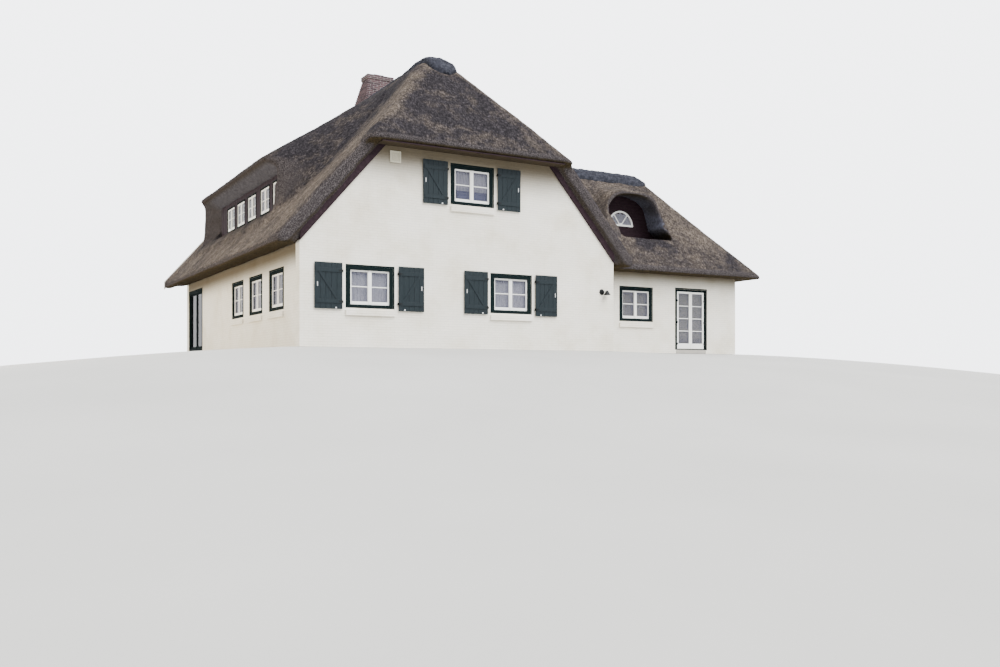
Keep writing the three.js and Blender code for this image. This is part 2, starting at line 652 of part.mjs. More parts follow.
function leftWall() {
  const { y, width, top } = GARDEN_GLAZING;
  const wall = block(0, WALL, SIDE_FROM, SIDE_TO, 0, SIDE_TOP);
  return pierced(wall, LEFT_PLACES).subtract(opening('left', y, width, FLOOR_TOP, top - FLOOR_TOP));
}

const WING_FROM = WING_LEFT + GAP;

function addWingWalls() {
  const back = WING_FRONT + WALL;
  const doorLeft = DOOR.x - DOOR.width / 2;
  const doorRight = DOOR.x + DOOR.width / 2;
  const left = block(WING_FROM, doorLeft, WING_FRONT, back, 0, SIDE_TOP);
  addPart('wing_front_wall_left', pierced(left, [WING_PLACES[0]]), COLOURS.limewash);
  addPart('wing_front_wall_right', block(doorRight, WING_RIGHT, WING_FRONT, back, 0, SIDE_TOP), COLOURS.limewash);
  const lintel = block(doorLeft + GAP, doorRight - GAP, WING_FRONT, back, DOOR.top, SIDE_TOP);
  addPart('wing_door_lintel', lintel, COLOURS.limewash);
  const end = block(WING_RIGHT - WALL, WING_RIGHT, back + GAP, WING_BACK - WALL - GAP, 0, SIDE_TOP);
  addPart('wing_end_wall', pierced(end, [WING_PLACES[1]]), COLOURS.limewash);
  const rear = block(WING_FROM, WING_RIGHT, WING_BACK - WALL, WING_BACK, 0, SIDE_TOP);
  addPart('wing_back_wall', pierced(rear, [WING_PLACES[2]]), COLOURS.limewash);
}

function floorSlab() {
  const inset = WALL + GAP;
  return block(inset, HOUSE_WIDTH - inset, inset, HOUSE_LENGTH - inset, 0, FLOOR_TOP);
}

function wingFloorSlab() {
  const inset = WALL + GAP;
  return block(WING_FROM, WING_RIGHT - inset, WING_FRONT + inset, WING_BACK - inset, 0, FLOOR_TOP);
}

function upperFloor() {
  const [bearing, inset] = [CEILING_BEARING, WALL + GAP];
  const top = WALL_TOP + CEILING_DEPTH;
  const floor = block(bearing, HOUSE_WIDTH - bearing, inset, HOUSE_LENGTH - inset, WALL_TOP, top);
  return floor.subtract(chimneyMass(GAP));
}

// Windows, shutters and doors

// Turns a piece made at a wall's face (x along, y outward, z up) to face the way the wall does.
function faced(solid, facing, along) {
  const turns = { front: 180, back: 0, left: 90, right: -90, wingFront: 180, wingBack: 0, wingEnd: -90 };
  const places = {
    front: [along, 0], back: [along, HOUSE_LENGTH], left: [0, along], right: [HOUSE_WIDTH, along],
    wingFront: [along, WING_FRONT], wingBack: [along, WING_BACK], wingEnd: [WING_RIGHT, along],
  };
  return solid.rotate([0, 0, turns[facing]]).translate([...places[facing], 0]);
}

// A flat frame in the wall's plane: a ring with an optional upright in the middle.
function ring(width, bottom, height, border, y0, y1, middle = 0) {
  const half = width / 2;
  const inner = block(-half + border, half - border, y0 - 10, y1 + 10, bottom + border, bottom + height - border);
  const frame = block(-half, half, y0, y1, bottom, bottom + height).subtract(inner);
  if (middle === 0) return frame;
  return frame.add(block(-middle / 2, middle / 2, y0, y1, bottom, bottom + height));
}

// Frame, sash and panes as one unit, its face set back from the wall's.
function windowUnit(width, bottom, height, border) {
  const { setBack, depth } = WINDOW;
  const [back, face] = [-setBack - depth, -setBack];
  const frame = ring(width - 2 * GAP, bottom + GAP, height - 2 * GAP, border, back, face);
  const inset = border - 5;
  const sash = ring(width - 2 * inset, bottom + inset, height - 2 * inset, 60, back + 10, face - 20, 110);
  const half = width / 2 - inset - 20;
  const pane = block(-half, half, back + 30, back + 38, bottom + inset + 20, bottom + height - inset - 20);
  return joined([frame, sash, pane]);
}

function standardWindow(facing, along, bottom = WINDOW.bottom) {
  return faced(windowUnit(WINDOW.width, bottom, WINDOW.height, WINDOW.border), facing, along);
}

function gardenGlazing() {
  const { y, width, top } = GARDEN_GLAZING;
  return faced(windowUnit(width, FLOOR_TOP, top - FLOOR_TOP, WINDOW.border), 'left', y);
}

// The dormer's sashes, which are fixed in its boarded front.
function dormerSashes() {
  const { width, bottom, height } = DORMER_WINDOW;
  return joined(DORMER_WINDOWS.map((y) => {
    const sash = ring(width + 10, bottom - 5, height + 10, 60, -60, 10, 80);
    const pane = block(20 - width / 2, width / 2 - 20, -44, -36, bottom + 20, bottom + height - 20);
    return sash.add(pane).rotate([0, 0, 90]).translate([DORMER.wallX, y, 0]);
  }));
}

// A sill's top lies a little below the window frame, so that the shutters clear it.
function sill(facing, along, bottom = WINDOW.bottom) {
  const { width, height, reach, drop } = SILL;
  const top = bottom - drop;
  return faced(block(-width / 2, width / 2, -10, reach, top - height, top), facing, along);
}

// Each shutter hangs on two pintles beside its window and lies folded back against the wall.
function shutterPins() {
  const places = [];
  const names = ['lower_left', 'lower_right', 'upper'];
  gableWindowPlaces().forEach(([x, z], i) => {
    const reach = SHUTTER.width + SHUTTER.edgeGap + 5;
    places.push({ name: `shutter_${names[i]}_window_left`, x: x - reach, bottom: z - SHUTTER.bottomDrop, side: -1 });
    places.push({ name: `shutter_${names[i]}_window_right`, x: x + reach, bottom: z - SHUTTER.bottomDrop, side: 1 });
  });
  return places;
}

function cylinder(x, y, z0, z1, radius) {
  const geometry = new THREE.CylinderGeometry(radius, radius, z1 - z0, 12);
  geometry.rotateX(Math.PI / 2);
  geometry.translate(x, y, (z0 + z1) / 2);
  return toSolid(geometry);
}

function eyeHeights(bottom, height) {
  return [bottom + PINTLE.inset, bottom + height - PINTLE.inset - PINTLE.height];
}

function shutter({ x, bottom, side }) {
  const { width, height, thickness, edgeGap } = SHUTTER;
  const axisY = -PINTLE.standOff;
  const [near, far] = [x + side * edgeGap, x + side * (edgeGap + width)];
  const back = -WINDOW.setBack;
  let leaf = block(Math.min(near, far), Math.max(near, far), back - thickness, back, bottom, bottom + height);
  for (const z of eyeHeights(bottom, height)) {
    const strap = [x, near + side * 5];
    leaf = leaf.add(block(Math.min(...strap), Math.max(...strap), axisY - 12, axisY + 3, z, z + PINTLE.height));
    leaf = leaf.add(cylinder(x, axisY, z, z + PINTLE.height, PINTLE.eye));
    leaf = leaf.subtract(cylinder(x, axisY, z - 1, z + PINTLE.height + 1, PINTLE.pin + PINTLE.clearance));
  }
  return leaf;
}

function pintles() {
  return joined(shutterPins().flatMap(({ x, bottom }) => {
    const y = -PINTLE.standOff;
    return eyeHeights(bottom, SHUTTER.height).flatMap((z) => [
      block(x - 8, x + 8, y - 8, 10, z - 14, z - GAP),
      cylinder(x, y, z - 14, z + PINTLE.height + 10, PINTLE.pin),
    ]);
  }));
}

const DOOR_FACE = WING_FRONT + WINDOW.setBack;
const DOOR_AXIS_Y = DOOR_FACE - 14;
const DOOR_BOTTOM = FLOOR_TOP + DOOR.threshold;
const LEAF_WIDTH = (DOOR.width - 2 * GAP - 2 * DOOR.border - 3 * DOOR.clearance) / 2;
const DOOR_EYES = [300, 1000, 1700];

function doorFrame() {
  const { x, width, top, border, threshold } = DOOR;
  const [left, right] = [x - width / 2 + GAP, x + width / 2 - GAP];
  const back = DOOR_FACE + WINDOW.depth;
  const outer = block(left, right, DOOR_FACE, back, FLOOR_TOP - 10, top - GAP);
  const hole = block(left + border, right - border, DOOR_FACE - 10, back + 10, FLOOR_TOP + threshold, top - border);
  const step = block(left, right, WING_FRONT, WING_FRONT + WALL, 0, FLOOR_TOP);
  const pins = [-1, 1].flatMap((side) => DOOR_EYES.map((z) => {
    const pinX = x + side * (width / 2 - GAP - border);
    const arm = block(pinX - 6, pinX + 6, DOOR_AXIS_Y - 6, DOOR_FACE + 2, z - 14, z - GAP);
    return arm.add(cylinder(pinX, DOOR_AXIS_Y, z - 14, z + PINTLE.height + 10, PINTLE.pin));
  }));
  return joined([outer.subtract(hole), step, ...pins]);
}

function doorLeaf(side) {
  const { x, width, top, border, clearance, thickness } = DOOR;
  const { stile, foot } = DOOR_PANEL;
  const pinX = x + side * (width / 2 - GAP - border);
  const hingeEdge = pinX - side * clearance;
  const meeting = hingeEdge - side * LEAF_WIDTH;
  const [x0, x1] = [Math.min(hingeEdge, meeting), Math.max(hingeEdge, meeting)];
  const [z0, z1] = [DOOR_BOTTOM + clearance, top - border - clearance];
  const y1 = DOOR_FACE + thickness;
  let leaf = block(x0, x1, DOOR_FACE, y1, z0, z1);
  const lap = stile - 5;
  leaf = leaf.subtract(block(x0 + stile, x1 - stile, DOOR_FACE - 10, y1 + 10, z0 + foot, z1 - stile));
  leaf = leaf.add(block(x0 + lap, x1 - lap, DOOR_FACE + 18, DOOR_FACE + 26, z0 + foot - 5, z1 - lap));
  for (const z of DOOR_EYES) {
    const arm = [pinX, hingeEdge - side * 20];
    leaf = leaf.add(block(Math.min(...arm), Math.max(...arm), DOOR_AXIS_Y - 8, DOOR_FACE + 2, z, z + PINTLE.height));
    leaf = leaf.add(cylinder(pinX, DOOR_AXIS_Y, z, z + PINTLE.height, PINTLE.eye));
    leaf = leaf.subtract(cylinder(pinX, DOOR_AXIS_Y, z - 1, z + PINTLE.height + 1, PINTLE.pin + PINTLE.clearance));
  }
  return leaf;
}

// Barge boards, vent and lamp

// Barge boards up both rakes of the front gable, with the half hip's soffit boards between them.
function frontBargeBoards() {
  const slopeEnd = (HIP_SOFFIT - WALL_TOP) / ROOF_RISE;
  const [low, top] = [WALL_TOP - GAP, HIP_SOFFIT - GAP];
  const inner = slopeEnd - BARGE.depth / ROOF_RISE;
  const outline = [[0, low], [slopeEnd, top], [inner, top], [0, low + BARGE.depth]];
  const mirrored = outline.map(([x, z]) => [HOUSE_WIDTH - x, z]);
  const span = [-GAP, -GAP - BARGE.thickness];
  const ends = [inner, HOUSE_WIDTH - inner];
  const soffit = block(...ends, FRONT_EDGE + 60, -GAP, top - BARGE.soffit, top);
  return joined([alongY(outline, ...span), alongY(mirrored, ...span), soffit]);
}

// A pale verge board on the back end of a slope, a little proud of the thatch.
function backBargeBoard(side) {
  const eave = WALL_TOP + ROOF_DEPTH - ROOF_RISE * EAVE_REACH;
  const [low, high] = [eave + BARGE.proud, HIP_EAVE + BARGE.proud];
  const foot = [[-EAVE_REACH, low - BARGE.depth], [-EAVE_REACH, low]];
  const corners = [...foot, [HIP_CORNER, high], [HIP_CORNER, high - BARGE.depth]];
  const outline = corners.map(([x, z]) => [side < 0 ? x : HOUSE_WIDTH - x, z]);
  const face = HOUSE_LENGTH + BACK_VERGE + GAP;
  const overhang = block(-FAR, FAR, HOUSE_LENGTH, FAR, HIP_SOFFIT - GAP, FAR).intersect(underMain(GAP));
  return alongY(outline, face, face + BARGE.thickness - 10).subtract(overhang);
}

function ventCover() {
  const { x, z, size, thickness } = VENT;
  return block(x - size / 2, x + size / 2, -thickness, -GAP, z - size / 2, z + size / 2);
}

// A wall lamp: a round back plate, an arm and a small cone shade.
function wallLamp() {
  const { x, z, plate, plateDepth, armY, reach } = LAMP;
  const [wide, narrow, tall] = LAMP.shade;
  const disc = cylinder(0, 0, 0, plateDepth, plate).rotate([90, 0, 0]).translate([x, -GAP, z]);
  const stem = block(x - 15, x + 15, armY - 10, -15, z - 15, z + 15);
  const arm = block(x - 15, x + reach + 10, armY - 10, armY + 10, z - 8, z + 8);
  const profile = [[0, 0], [wide, 0], [narrow, tall - 10], [0, tall]].map(([r, h]) => new THREE.Vector2(r, h));
  const shade = new THREE.LatheGeometry(profile, 16);
  shade.rotateX(Math.PI / 2);
  shade.translate(x + reach, armY, z - 90);
  return joined([disc, stem, arm, toSolid(shade)]);
}

// Assembly, from the ground up

addPart('floor_slab', floorSlab(), COLOURS.screed, 0.9);
addPart('wing_floor_slab', wingFloorSlab(), COLOURS.screed, 0.9);
const frontGable = pierced(gableWall(0, WALL, HIP_SOFFIT), FRONT_PLACES);
addPart('front_gable_wall', frontGable.add(pintles()), COLOURS.limewash, 0.9);
const rearGable = gableWall(HOUSE_LENGTH - WALL, HOUSE_LENGTH, BACK_GABLE_TOP);
addPart('back_gable_wall', pierced(rearGable, BACK_PLACES), COLOURS.limewash, 0.9);
addPart('left_wall', leftWall(), COLOURS.limewash, 0.9);
const sideWall = block(HOUSE_WIDTH - WALL, HOUSE_WIDTH, SIDE_FROM, SIDE_TO, 0, SIDE_TOP);
addPart('right_wall', pierced(sideWall, RIGHT_PLACES), COLOURS.limewash, 0.9);
addWingWalls();
addPart('upper_floor', upperFloor(), COLOURS.timber);

const whole = mainThatch();
const hips = hipRegion(FRONT_EDGE, 1, GAP).add(hipRegion(BACK_EDGE, -1, GAP));
addPart('thatch_left_slope', thatchLeft(whole, hips), COLOURS.thatch, 1);
addPart('thatch_right_slope', thatchRight(whole, hips), COLOURS.thatch, 1);
addPart('thatch_front_half_hip', whole.intersect(hipRegion(FRONT_EDGE, 1, 0)), COLOURS.thatch, 1);
addPart('thatch_back_half_hip', whole.intersect(hipRegion(BACK_EDGE, -1, 0)), COLOURS.thatch, 1);
addPart('dormer_thatch', dormerThatch(), COLOURS.thatch, 1);
addPart('dormer_front', dormerFront().add(dormerSashes()), COLOURS.boards);

const wing = wingThatch();
const frontHalf = block(-FAR, FAR, -FAR, WING_RIDGE_Y - GAP / 2, -FAR, FAR);
const backHalf = block(-FAR, FAR, WING_RIDGE_Y + GAP / 2, FAR, -FAR, FAR);
addPart('wing_thatch_front', wing.intersect(frontHalf).subtract(wingHipRegion(GAP)), COLOURS.thatch, 1);
addPart('wing_thatch_back', wing.intersect(backHalf).subtract(wingHipRegion(GAP)), COLOURS.thatch, 1);
addPart('wing_thatch_hip', wing.intersect(wingHipRegion(0)), COLOURS.thatch, 1);
addPart('eyebrow_thatch', eyebrowThatch(), COLOURS.thatch, 1);
addPart('eyebrow_front', eyebrowFront(), COLOURS.boards);
addPart('fan_window', fanWindow(), COLOURS.joinery, 0.5);

addPart('main_ridge_cap', mainRidgeCap(), COLOURS.heather, 1);
addPart('wing_ridge_cap', wingRidgeCap(), COLOURS.heather, 1);
addPart('chimney', chimney(), COLOURS.brick, 0.9);
addPart('front_barge_boards', frontBargeBoards(), COLOURS.boards);
addPart('back_barge_board_left', backBargeBoard(-1), COLOURS.sill);
addPart('back_barge_board_right', backBargeBoard(1), COLOURS.sill);

const groups = [['gable', FRONT_PLACES], ['left', LEFT_PLACES], ['right', RIGHT_PLACES]];
groups.push(['wing', WING_PLACES], ['back', BACK_PLACES]);
for (const [name, places] of groups) {
  places.forEach((place, i) => addPart(`${name}_window_${i + 1}`, standardWindow(...place), COLOURS.frames, 0.5));
}
addPart('left_garden_glazing', gardenGlazing(), COLOURS.frames, 0.5);

for (const place of shutterPins()) addPart(place.name, shutter(place), COLOURS.shutters, 0.5);
addPart('garden_door_frame', doorFrame(), COLOURS.frames, 0.5);
addPart('garden_door_left_leaf', doorLeaf(-1), COLOURS.joinery, 0.5);
addPart('garden_door_right_leaf', doorLeaf(1), COLOURS.joinery, 0.5);
addPart('vent_cover', ventCover(), COLOURS.sill);
addPart('wall_lamp', wallLamp(), COLOURS.iron, 0.5);

const outline = new THREE.Box3().setFromObject(cottage);
const centre = outline.getCenter(new THREE.Vector3());
cottage.position.set(-Math.round(centre.x), -Math.round(centre.y), 0);

export default cottage;
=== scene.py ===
import math
import bpy
import bmesh
import numpy as np
from mathutils import Matrix, Vector, noise


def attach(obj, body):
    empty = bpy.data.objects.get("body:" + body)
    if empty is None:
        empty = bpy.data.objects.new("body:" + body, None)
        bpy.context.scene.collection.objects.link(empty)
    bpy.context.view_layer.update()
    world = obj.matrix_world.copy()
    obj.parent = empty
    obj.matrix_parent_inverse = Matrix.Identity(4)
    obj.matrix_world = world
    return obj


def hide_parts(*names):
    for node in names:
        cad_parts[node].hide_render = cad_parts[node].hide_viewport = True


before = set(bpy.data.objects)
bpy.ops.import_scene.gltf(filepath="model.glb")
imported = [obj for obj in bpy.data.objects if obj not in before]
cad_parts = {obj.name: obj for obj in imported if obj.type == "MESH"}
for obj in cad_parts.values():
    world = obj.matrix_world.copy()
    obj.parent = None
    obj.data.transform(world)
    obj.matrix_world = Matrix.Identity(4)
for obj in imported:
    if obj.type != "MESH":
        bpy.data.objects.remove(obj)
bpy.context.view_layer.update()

# The view, the ground and the light. The house stands on the brow of a gentle rise and is seen
# from below its own ground, by the soft light of an overcast day that is dull low down on the
# left, where pale ground throws some warm light back at the wall. The ground is plain.
SRGB_KNEE = 0.04045
HOUSE_CORNER = (7.740, 6.900, 0.0)
MAIN_PLAN, WING_PLAN = (0, 0, 9.49, 12.95), (9.49, 1.2, 15.48, 6.4)
VIEW = {"place": (-14.96, -29.17, -0.70), "turn": 30, "lens": 33.84, "sensor": 36, "shift": 0.0415, "far": 1500}
GROUND = {"slope": 0.045, "curve": 0.006, "depth": 4.5, "reach": 400, "close": 12, "rings": 24, "rows": 45}
PALE_GROUND = [(0.3, "#A5A4A0"), (0.7, "#ABAAA6")]
OVERCAST, LOW_SKY = "#EDEFF3", "#D8D0C0"
SKY_STRENGTH = {"level": 1.8, "overhead": 3.4, "low_on_left": 1.3, "behind_house": 3.4}
BEHIND_HOUSE = {"towards": (0.5, 0.866, 0.0), "from": 0.66, "full": 0.80}
LOW_ON_LEFT = {"lift": 0.9, "dull": -0.7, "open": -0.05}
SOFT_SUNS = {"soft_front_light": ((36, 0, 26), 6.5, 50), "soft_back_light": ((60, 0, 200), 0.5, 60)}
WARM_LIGHT = {"place": (-8.5, 6.5, 1.0), "size": (1.6, 15.0), "power": 900, "spread": 170, "colour": "#FFE8C0"}


def colour(hex_code, alpha=1.0):
    parts = [int(hex_code[i:i + 2], 16) / 255 for i in (1, 3, 5)]
    linear = [c / 12.92 if c <= SRGB_KNEE else ((c + 0.055) / 1.055) ** 2.4 for c in parts]
    return (*linear, alpha)


def node(tree, kind, settings=None, links=None):
    """A node with its settings, the stops of a ramp too; numbers and names in links are its inputs."""
    made = tree.nodes.new("ShaderNode" + kind)
    for key, value in (settings or {}).items():
        if key == "stops":
            steps = made.color_ramp.elements
            while len(steps) < len(value):
                steps.new(0.5)
            for step, (position, hex_code) in zip(steps, value):
                step.position, step.color = position, colour(hex_code)
        elif isinstance(key, str) and hasattr(made, key):
            setattr(made, key, value)
        else:
            made.inputs[key].default_value = value
    for key, source in (links or {}).items():
        socket = source if isinstance(source, bpy.types.NodeSocket) else source.outputs[0]
        tree.links.new(socket, made.inputs[key])
    return made


def surface(name, roughness, **constants):
    """A new material with its shader, and the place in metres that its patterns start from."""
    made = bpy.data.materials.new(name)
    made.use_nodes = True
    shader = made.node_tree.nodes["Principled BSDF"]
    shader.inputs["Roughness"].default_value = roughness
    for key, value in constants.items():
        shader.inputs[key.replace("_", " ")].default_value = value
    place = node(made.node_tree, "TexCoord").outputs["Object"]
    return made, made.node_tree, shader, place


def coated(tree, shader, tone, relief=None, strength=1.0, distance=0.001):
    """The shader takes its colour, and stands up by a distance in metres where the relief is light."""
    if tone:
        tree.links.new(tone.outputs[0], shader.inputs["Base Color"])
    if relief:
        bump = node(tree, "Bump", {"Strength": strength, "Distance": distance}, {"Height": relief})
        tree.links.new(bump.outputs[0], shader.inputs["Normal"])


def mottled(name, roughness, per_metre, stops, detail, bump=None, stretch=None, coarse=0.5, **constants):
    """A material that drifts between a few tones, so many times a metre, or along its grain if the
    pattern is stretched."""
    made, tree, shader, place = surface(name, roughness, **constants)
    if stretch:
        place = node(tree, "Mapping", {"Scale": stretch}, {"Vector": place})
    drift = node(tree, "TexNoise", {
        "Scale": per_metre, "Detail": detail, "Roughness": coarse}, {"Vector": place})
    tone = node(tree, "ValToRGB", {"stops": stops}, {"Fac": drift})
    coated(tree, shader, tone, drift if bump else None, *(bump or ()))
    return made


def house(x, y, z=0.0):
    """A place measured from the foot of the front left corner, in the object's frame."""
    return Vector((x - HOUSE_CORNER[0], y - HOUSE_CORNER[1], z))


def placed(name, mesh, place=None):
    """An object for a mesh, set in its place if that isn't where the mesh was drawn."""
    made = bpy.data.objects.new(name, mesh)
    bpy.context.scene.collection.objects.link(made)
    if place is not None:
        made.matrix_world = place
        bpy.context.view_layer.update()
    return made


def mesh_object(name, corners, faces, item, smooth=False, place=None):
    mesh = bpy.data.meshes.new(name)
    mesh.from_pydata([tuple(c) for c in corners], [], [tuple(int(i) for i in f) for f in faces])
    mesh.update()
    mesh.materials.append(item)
    if smooth:
        mesh.shade_smooth()
    return placed(name, mesh, place)


def grid_faces(rows, columns):
    at = np.arange(rows * columns).reshape(rows, columns)
    corners = [at[:-1, :-1], at[:-1, 1:], at[1:, 1:], at[1:, :-1]]
    return np.stack([c.ravel() for c in corners], axis=1)


def ground():
    """The distance from the walls sets how far the ground has fallen. Its plaster is matt and pale,
    with faint clouds some 3 m wide."""
    far, close, rings = GROUND["reach"], GROUND["close"], GROUND["rings"]
    middle = np.linspace(1 - close, close - 1, GROUND["rows"])
    steps = np.concatenate([-np.geomspace(far, close, rings), middle, np.geomspace(close, far, rings)])
    xs, ys = np.meshgrid(steps, steps)
    away = None
    for x0, y0, x1, y1 in (MAIN_PLAN, WING_PLAN):
        low, high = house(x0, y0), house(x1, y1)
        dx = np.maximum(np.maximum(low.x - xs, xs - high.x), 0)
        dy = np.maximum(np.maximum(low.y - ys, ys - high.y), 0)
        reach = np.hypot(dx, dy)
        away = reach if away is None else np.minimum(away, reach)
    fall = GROUND["slope"] * away + GROUND["curve"] * away ** 2
    zs = -GROUND["depth"] * (1 - np.exp(-fall / GROUND["depth"]))
    corners = np.stack([xs.ravel(), ys.ravel(), zs.ravel()], axis=1)
    plaster = mottled("pale_ground_plaster", 0.95, 0.35, PALE_GROUND, 4.0)
    return mesh_object("pale_ground", corners, grid_faces(len(steps), len(steps)), plaster, smooth=True)


camera_data = bpy.data.cameras.new("photo_view")
camera_data.sensor_width = VIEW["sensor"]
camera_data.lens = VIEW["lens"]
camera_data.shift_y = VIEW["shift"]
camera_data.clip_end = VIEW["far"]
camera = bpy.data.objects.new("photo_view", camera_data)
camera.location = VIEW["place"]
camera.rotation_euler = (math.radians(90), 0, -math.radians(VIEW["turn"]))
bpy.context.scene.collection.objects.link(camera)
bpy.context.scene.camera = camera

ground()

sky = bpy.data.worlds.new("overcast")
sky.use_nodes = True
tree = sky.node_tree
background = tree.nodes["Background"]
towards = node(tree, "TexCoord").outputs["Generated"]
axes = node(tree, "SeparateXYZ", {}, {"Vector": towards})
from_left = node(tree, "Math", {"operation": "MULTIPLY_ADD", 1: LOW_ON_LEFT["lift"]}, {
    0: axes.outputs["Z"], 2: axes.outputs["X"]})
opened = node(tree, "MapRange", {
    "interpolation_type": "SMOOTHSTEP", "From Min": LOW_ON_LEFT["dull"], "From Max": LOW_ON_LEFT["open"]}, {
    "Value": from_left})
tint = node(tree, "MixRGB", {"Color1": colour(LOW_SKY), "Color2": colour(OVERCAST)}, {"Fac": opened})
lifted = node(tree, "MapRange", {
    "To Min": SKY_STRENGTH["level"], "To Max": SKY_STRENGTH["overhead"]}, {"Value": axes.outputs["Z"]})
plain_sky = node(tree, "MapRange", {"To Min": SKY_STRENGTH["low_on_left"]}, {"Value": opened, "To Max": lifted})
past_house = node(tree, "VectorMath", {"operation": "DOT_PRODUCT", 1: BEHIND_HOUSE["towards"]}, {0: towards})
behind = node(tree, "MapRange", {
    "interpolation_type": "SMOOTHSTEP", "From Min": BEHIND_HOUSE["from"], "From Max": BEHIND_HOUSE["full"],
    "To Min": 0.0, "To Max": SKY_STRENGTH["behind_house"]}, {"Value": past_house.outputs["Value"]})
strength = node(tree, "Math", {"operation": "ADD"}, {0: plain_sky, 1: behind})
tree.links.new(tint.outputs[0], background.inputs["Color"])
tree.links.new(strength.outputs[0], background.inputs["Strength"])
bpy.context.scene.world = sky

for name, (turn, strength, spread) in SOFT_SUNS.items():
    light = bpy.data.lights.new(name, "SUN")
    light.energy = strength
    light.angle = math.radians(spread)
    lamp = bpy.data.objects.new(name, light)
    lamp.rotation_euler = [math.radians(a) for a in turn]
    bpy.context.scene.collection.objects.link(lamp)

light = bpy.data.lights.new("warm_light_off_the_ground", "AREA")
light.shape = "RECTANGLE"
light.size, light.size_y = WARM_LIGHT["size"]
light.energy = WARM_LIGHT["power"]
light.spread = math.radians(WARM_LIGHT["spread"])
light.color = colour(WARM_LIGHT["colour"])[:3]
lamp = bpy.data.objects.new("warm_light_off_the_ground", light)
lamp.location = house(*WARM_LIGHT["place"])
lamp.rotation_euler = (0, math.radians(-90), 0)
lamp.visible_camera = lamp.visible_glossy = False
bpy.context.scene.collection.objects.link(lamp)


# Ground slabs and upper floor. Sand and cement screed, trowelled flat, which gives a dull grey
# with cloudy patches; and wide planed softwood boards, nailed side by side.
SCREED_PATCH = 0.6
SCREED = [(0.3, "#98948C"), (0.7, "#ABA79E")]
FLOORBOARD = {"length": 3.6, "width": 0.145, "joint": 0.003, "light": "#B49A74", "dark": "#A58A64", "gap": "#4A3A28"}
BOARD_GRAIN = [(0.3, "#B0A890"), (0.7, "#FFFFFF")]


def finish(name, item):
    """A CAD piece that is right as it is takes its finish."""
    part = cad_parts[name]
    if not part.material_slots:
        part.data.materials.append(item)
    for place in part.material_slots:
        place.material = item


def oiled_floorboards():
    """Oiled boards have a soft shine, with grain some 10 mm wide that runs along them."""
    made, tree, shader, place = surface("oiled_softwood_boards", 0.55)
    boards = node(tree, "TexBrick", {
        "Scale": 1.0, "Brick Width": FLOORBOARD["length"], "Row Height": FLOORBOARD["width"],
        "Mortar Size": FLOORBOARD["joint"], "Color1": colour(FLOORBOARD["light"]),
        "Color2": colour(FLOORBOARD["dark"]), "Mortar": colour(FLOORBOARD["gap"])}, {"Vector": place})
    grain = node(tree, "Mapping", {"Scale": (1.2, 40, 1)}, {"Vector": place})
    rings = node(tree, "TexNoise", {"Scale": 2.0, "Detail": 5.0}, {"Vector": grain})
    streaks = node(tree, "ValToRGB", {"stops": BOARD_GRAIN}, {"Fac": rings})
    tinted = node(tree, "MixRGB", {"blend_type": "MULTIPLY", "Fac": 0.35}, {
        "Color1": boards.outputs["Color"], "Color2": streaks})
    coated(tree, shader, tinted)
    return made


screed = mottled("trowelled_cement_screed", 0.85, 1 / SCREED_PATCH, SCREED, 6.0, bump=(0.2, 0.002))
finish("floor_slab", screed)
finish("wing_floor_slab", screed)
finish("upper_floor", oiled_floorboards())


# Walls. Clay bricks 228 by 54 mm laid in 12 mm joints and brushed with many coats of lime
# paint, which rounds the joints to faint level lines and leaves the white a little uneven. The top
# courses under the eaves are painted olive brown, deepening upwards: a painted shade of the eaves.
BRICK = {"length": 0.228, "height": 0.054, "joint": 0.012}
WALLS = {"gables": ("front_gable_wall", "back_gable_wall"), "eaves": ("left_wall", "right_wall"),
         "wing": ("wing_front_wall_left", "wing_front_wall_right", "wing_door_lintel", "wing_end_wall",
                  "wing_back_wall")}
PAINTED_EAVE_SHADE = {"colour": "#554A32", "most": 0.95, "gables": (4.0, 5.1), "eaves": (1.8, 2.42), "wing": (2.05, 2.55)}
LIME_WHITE = [(0.3, "#DAD3C2"), (0.5, "#E8E3D6"), (0.7, "#EEEAE0")]


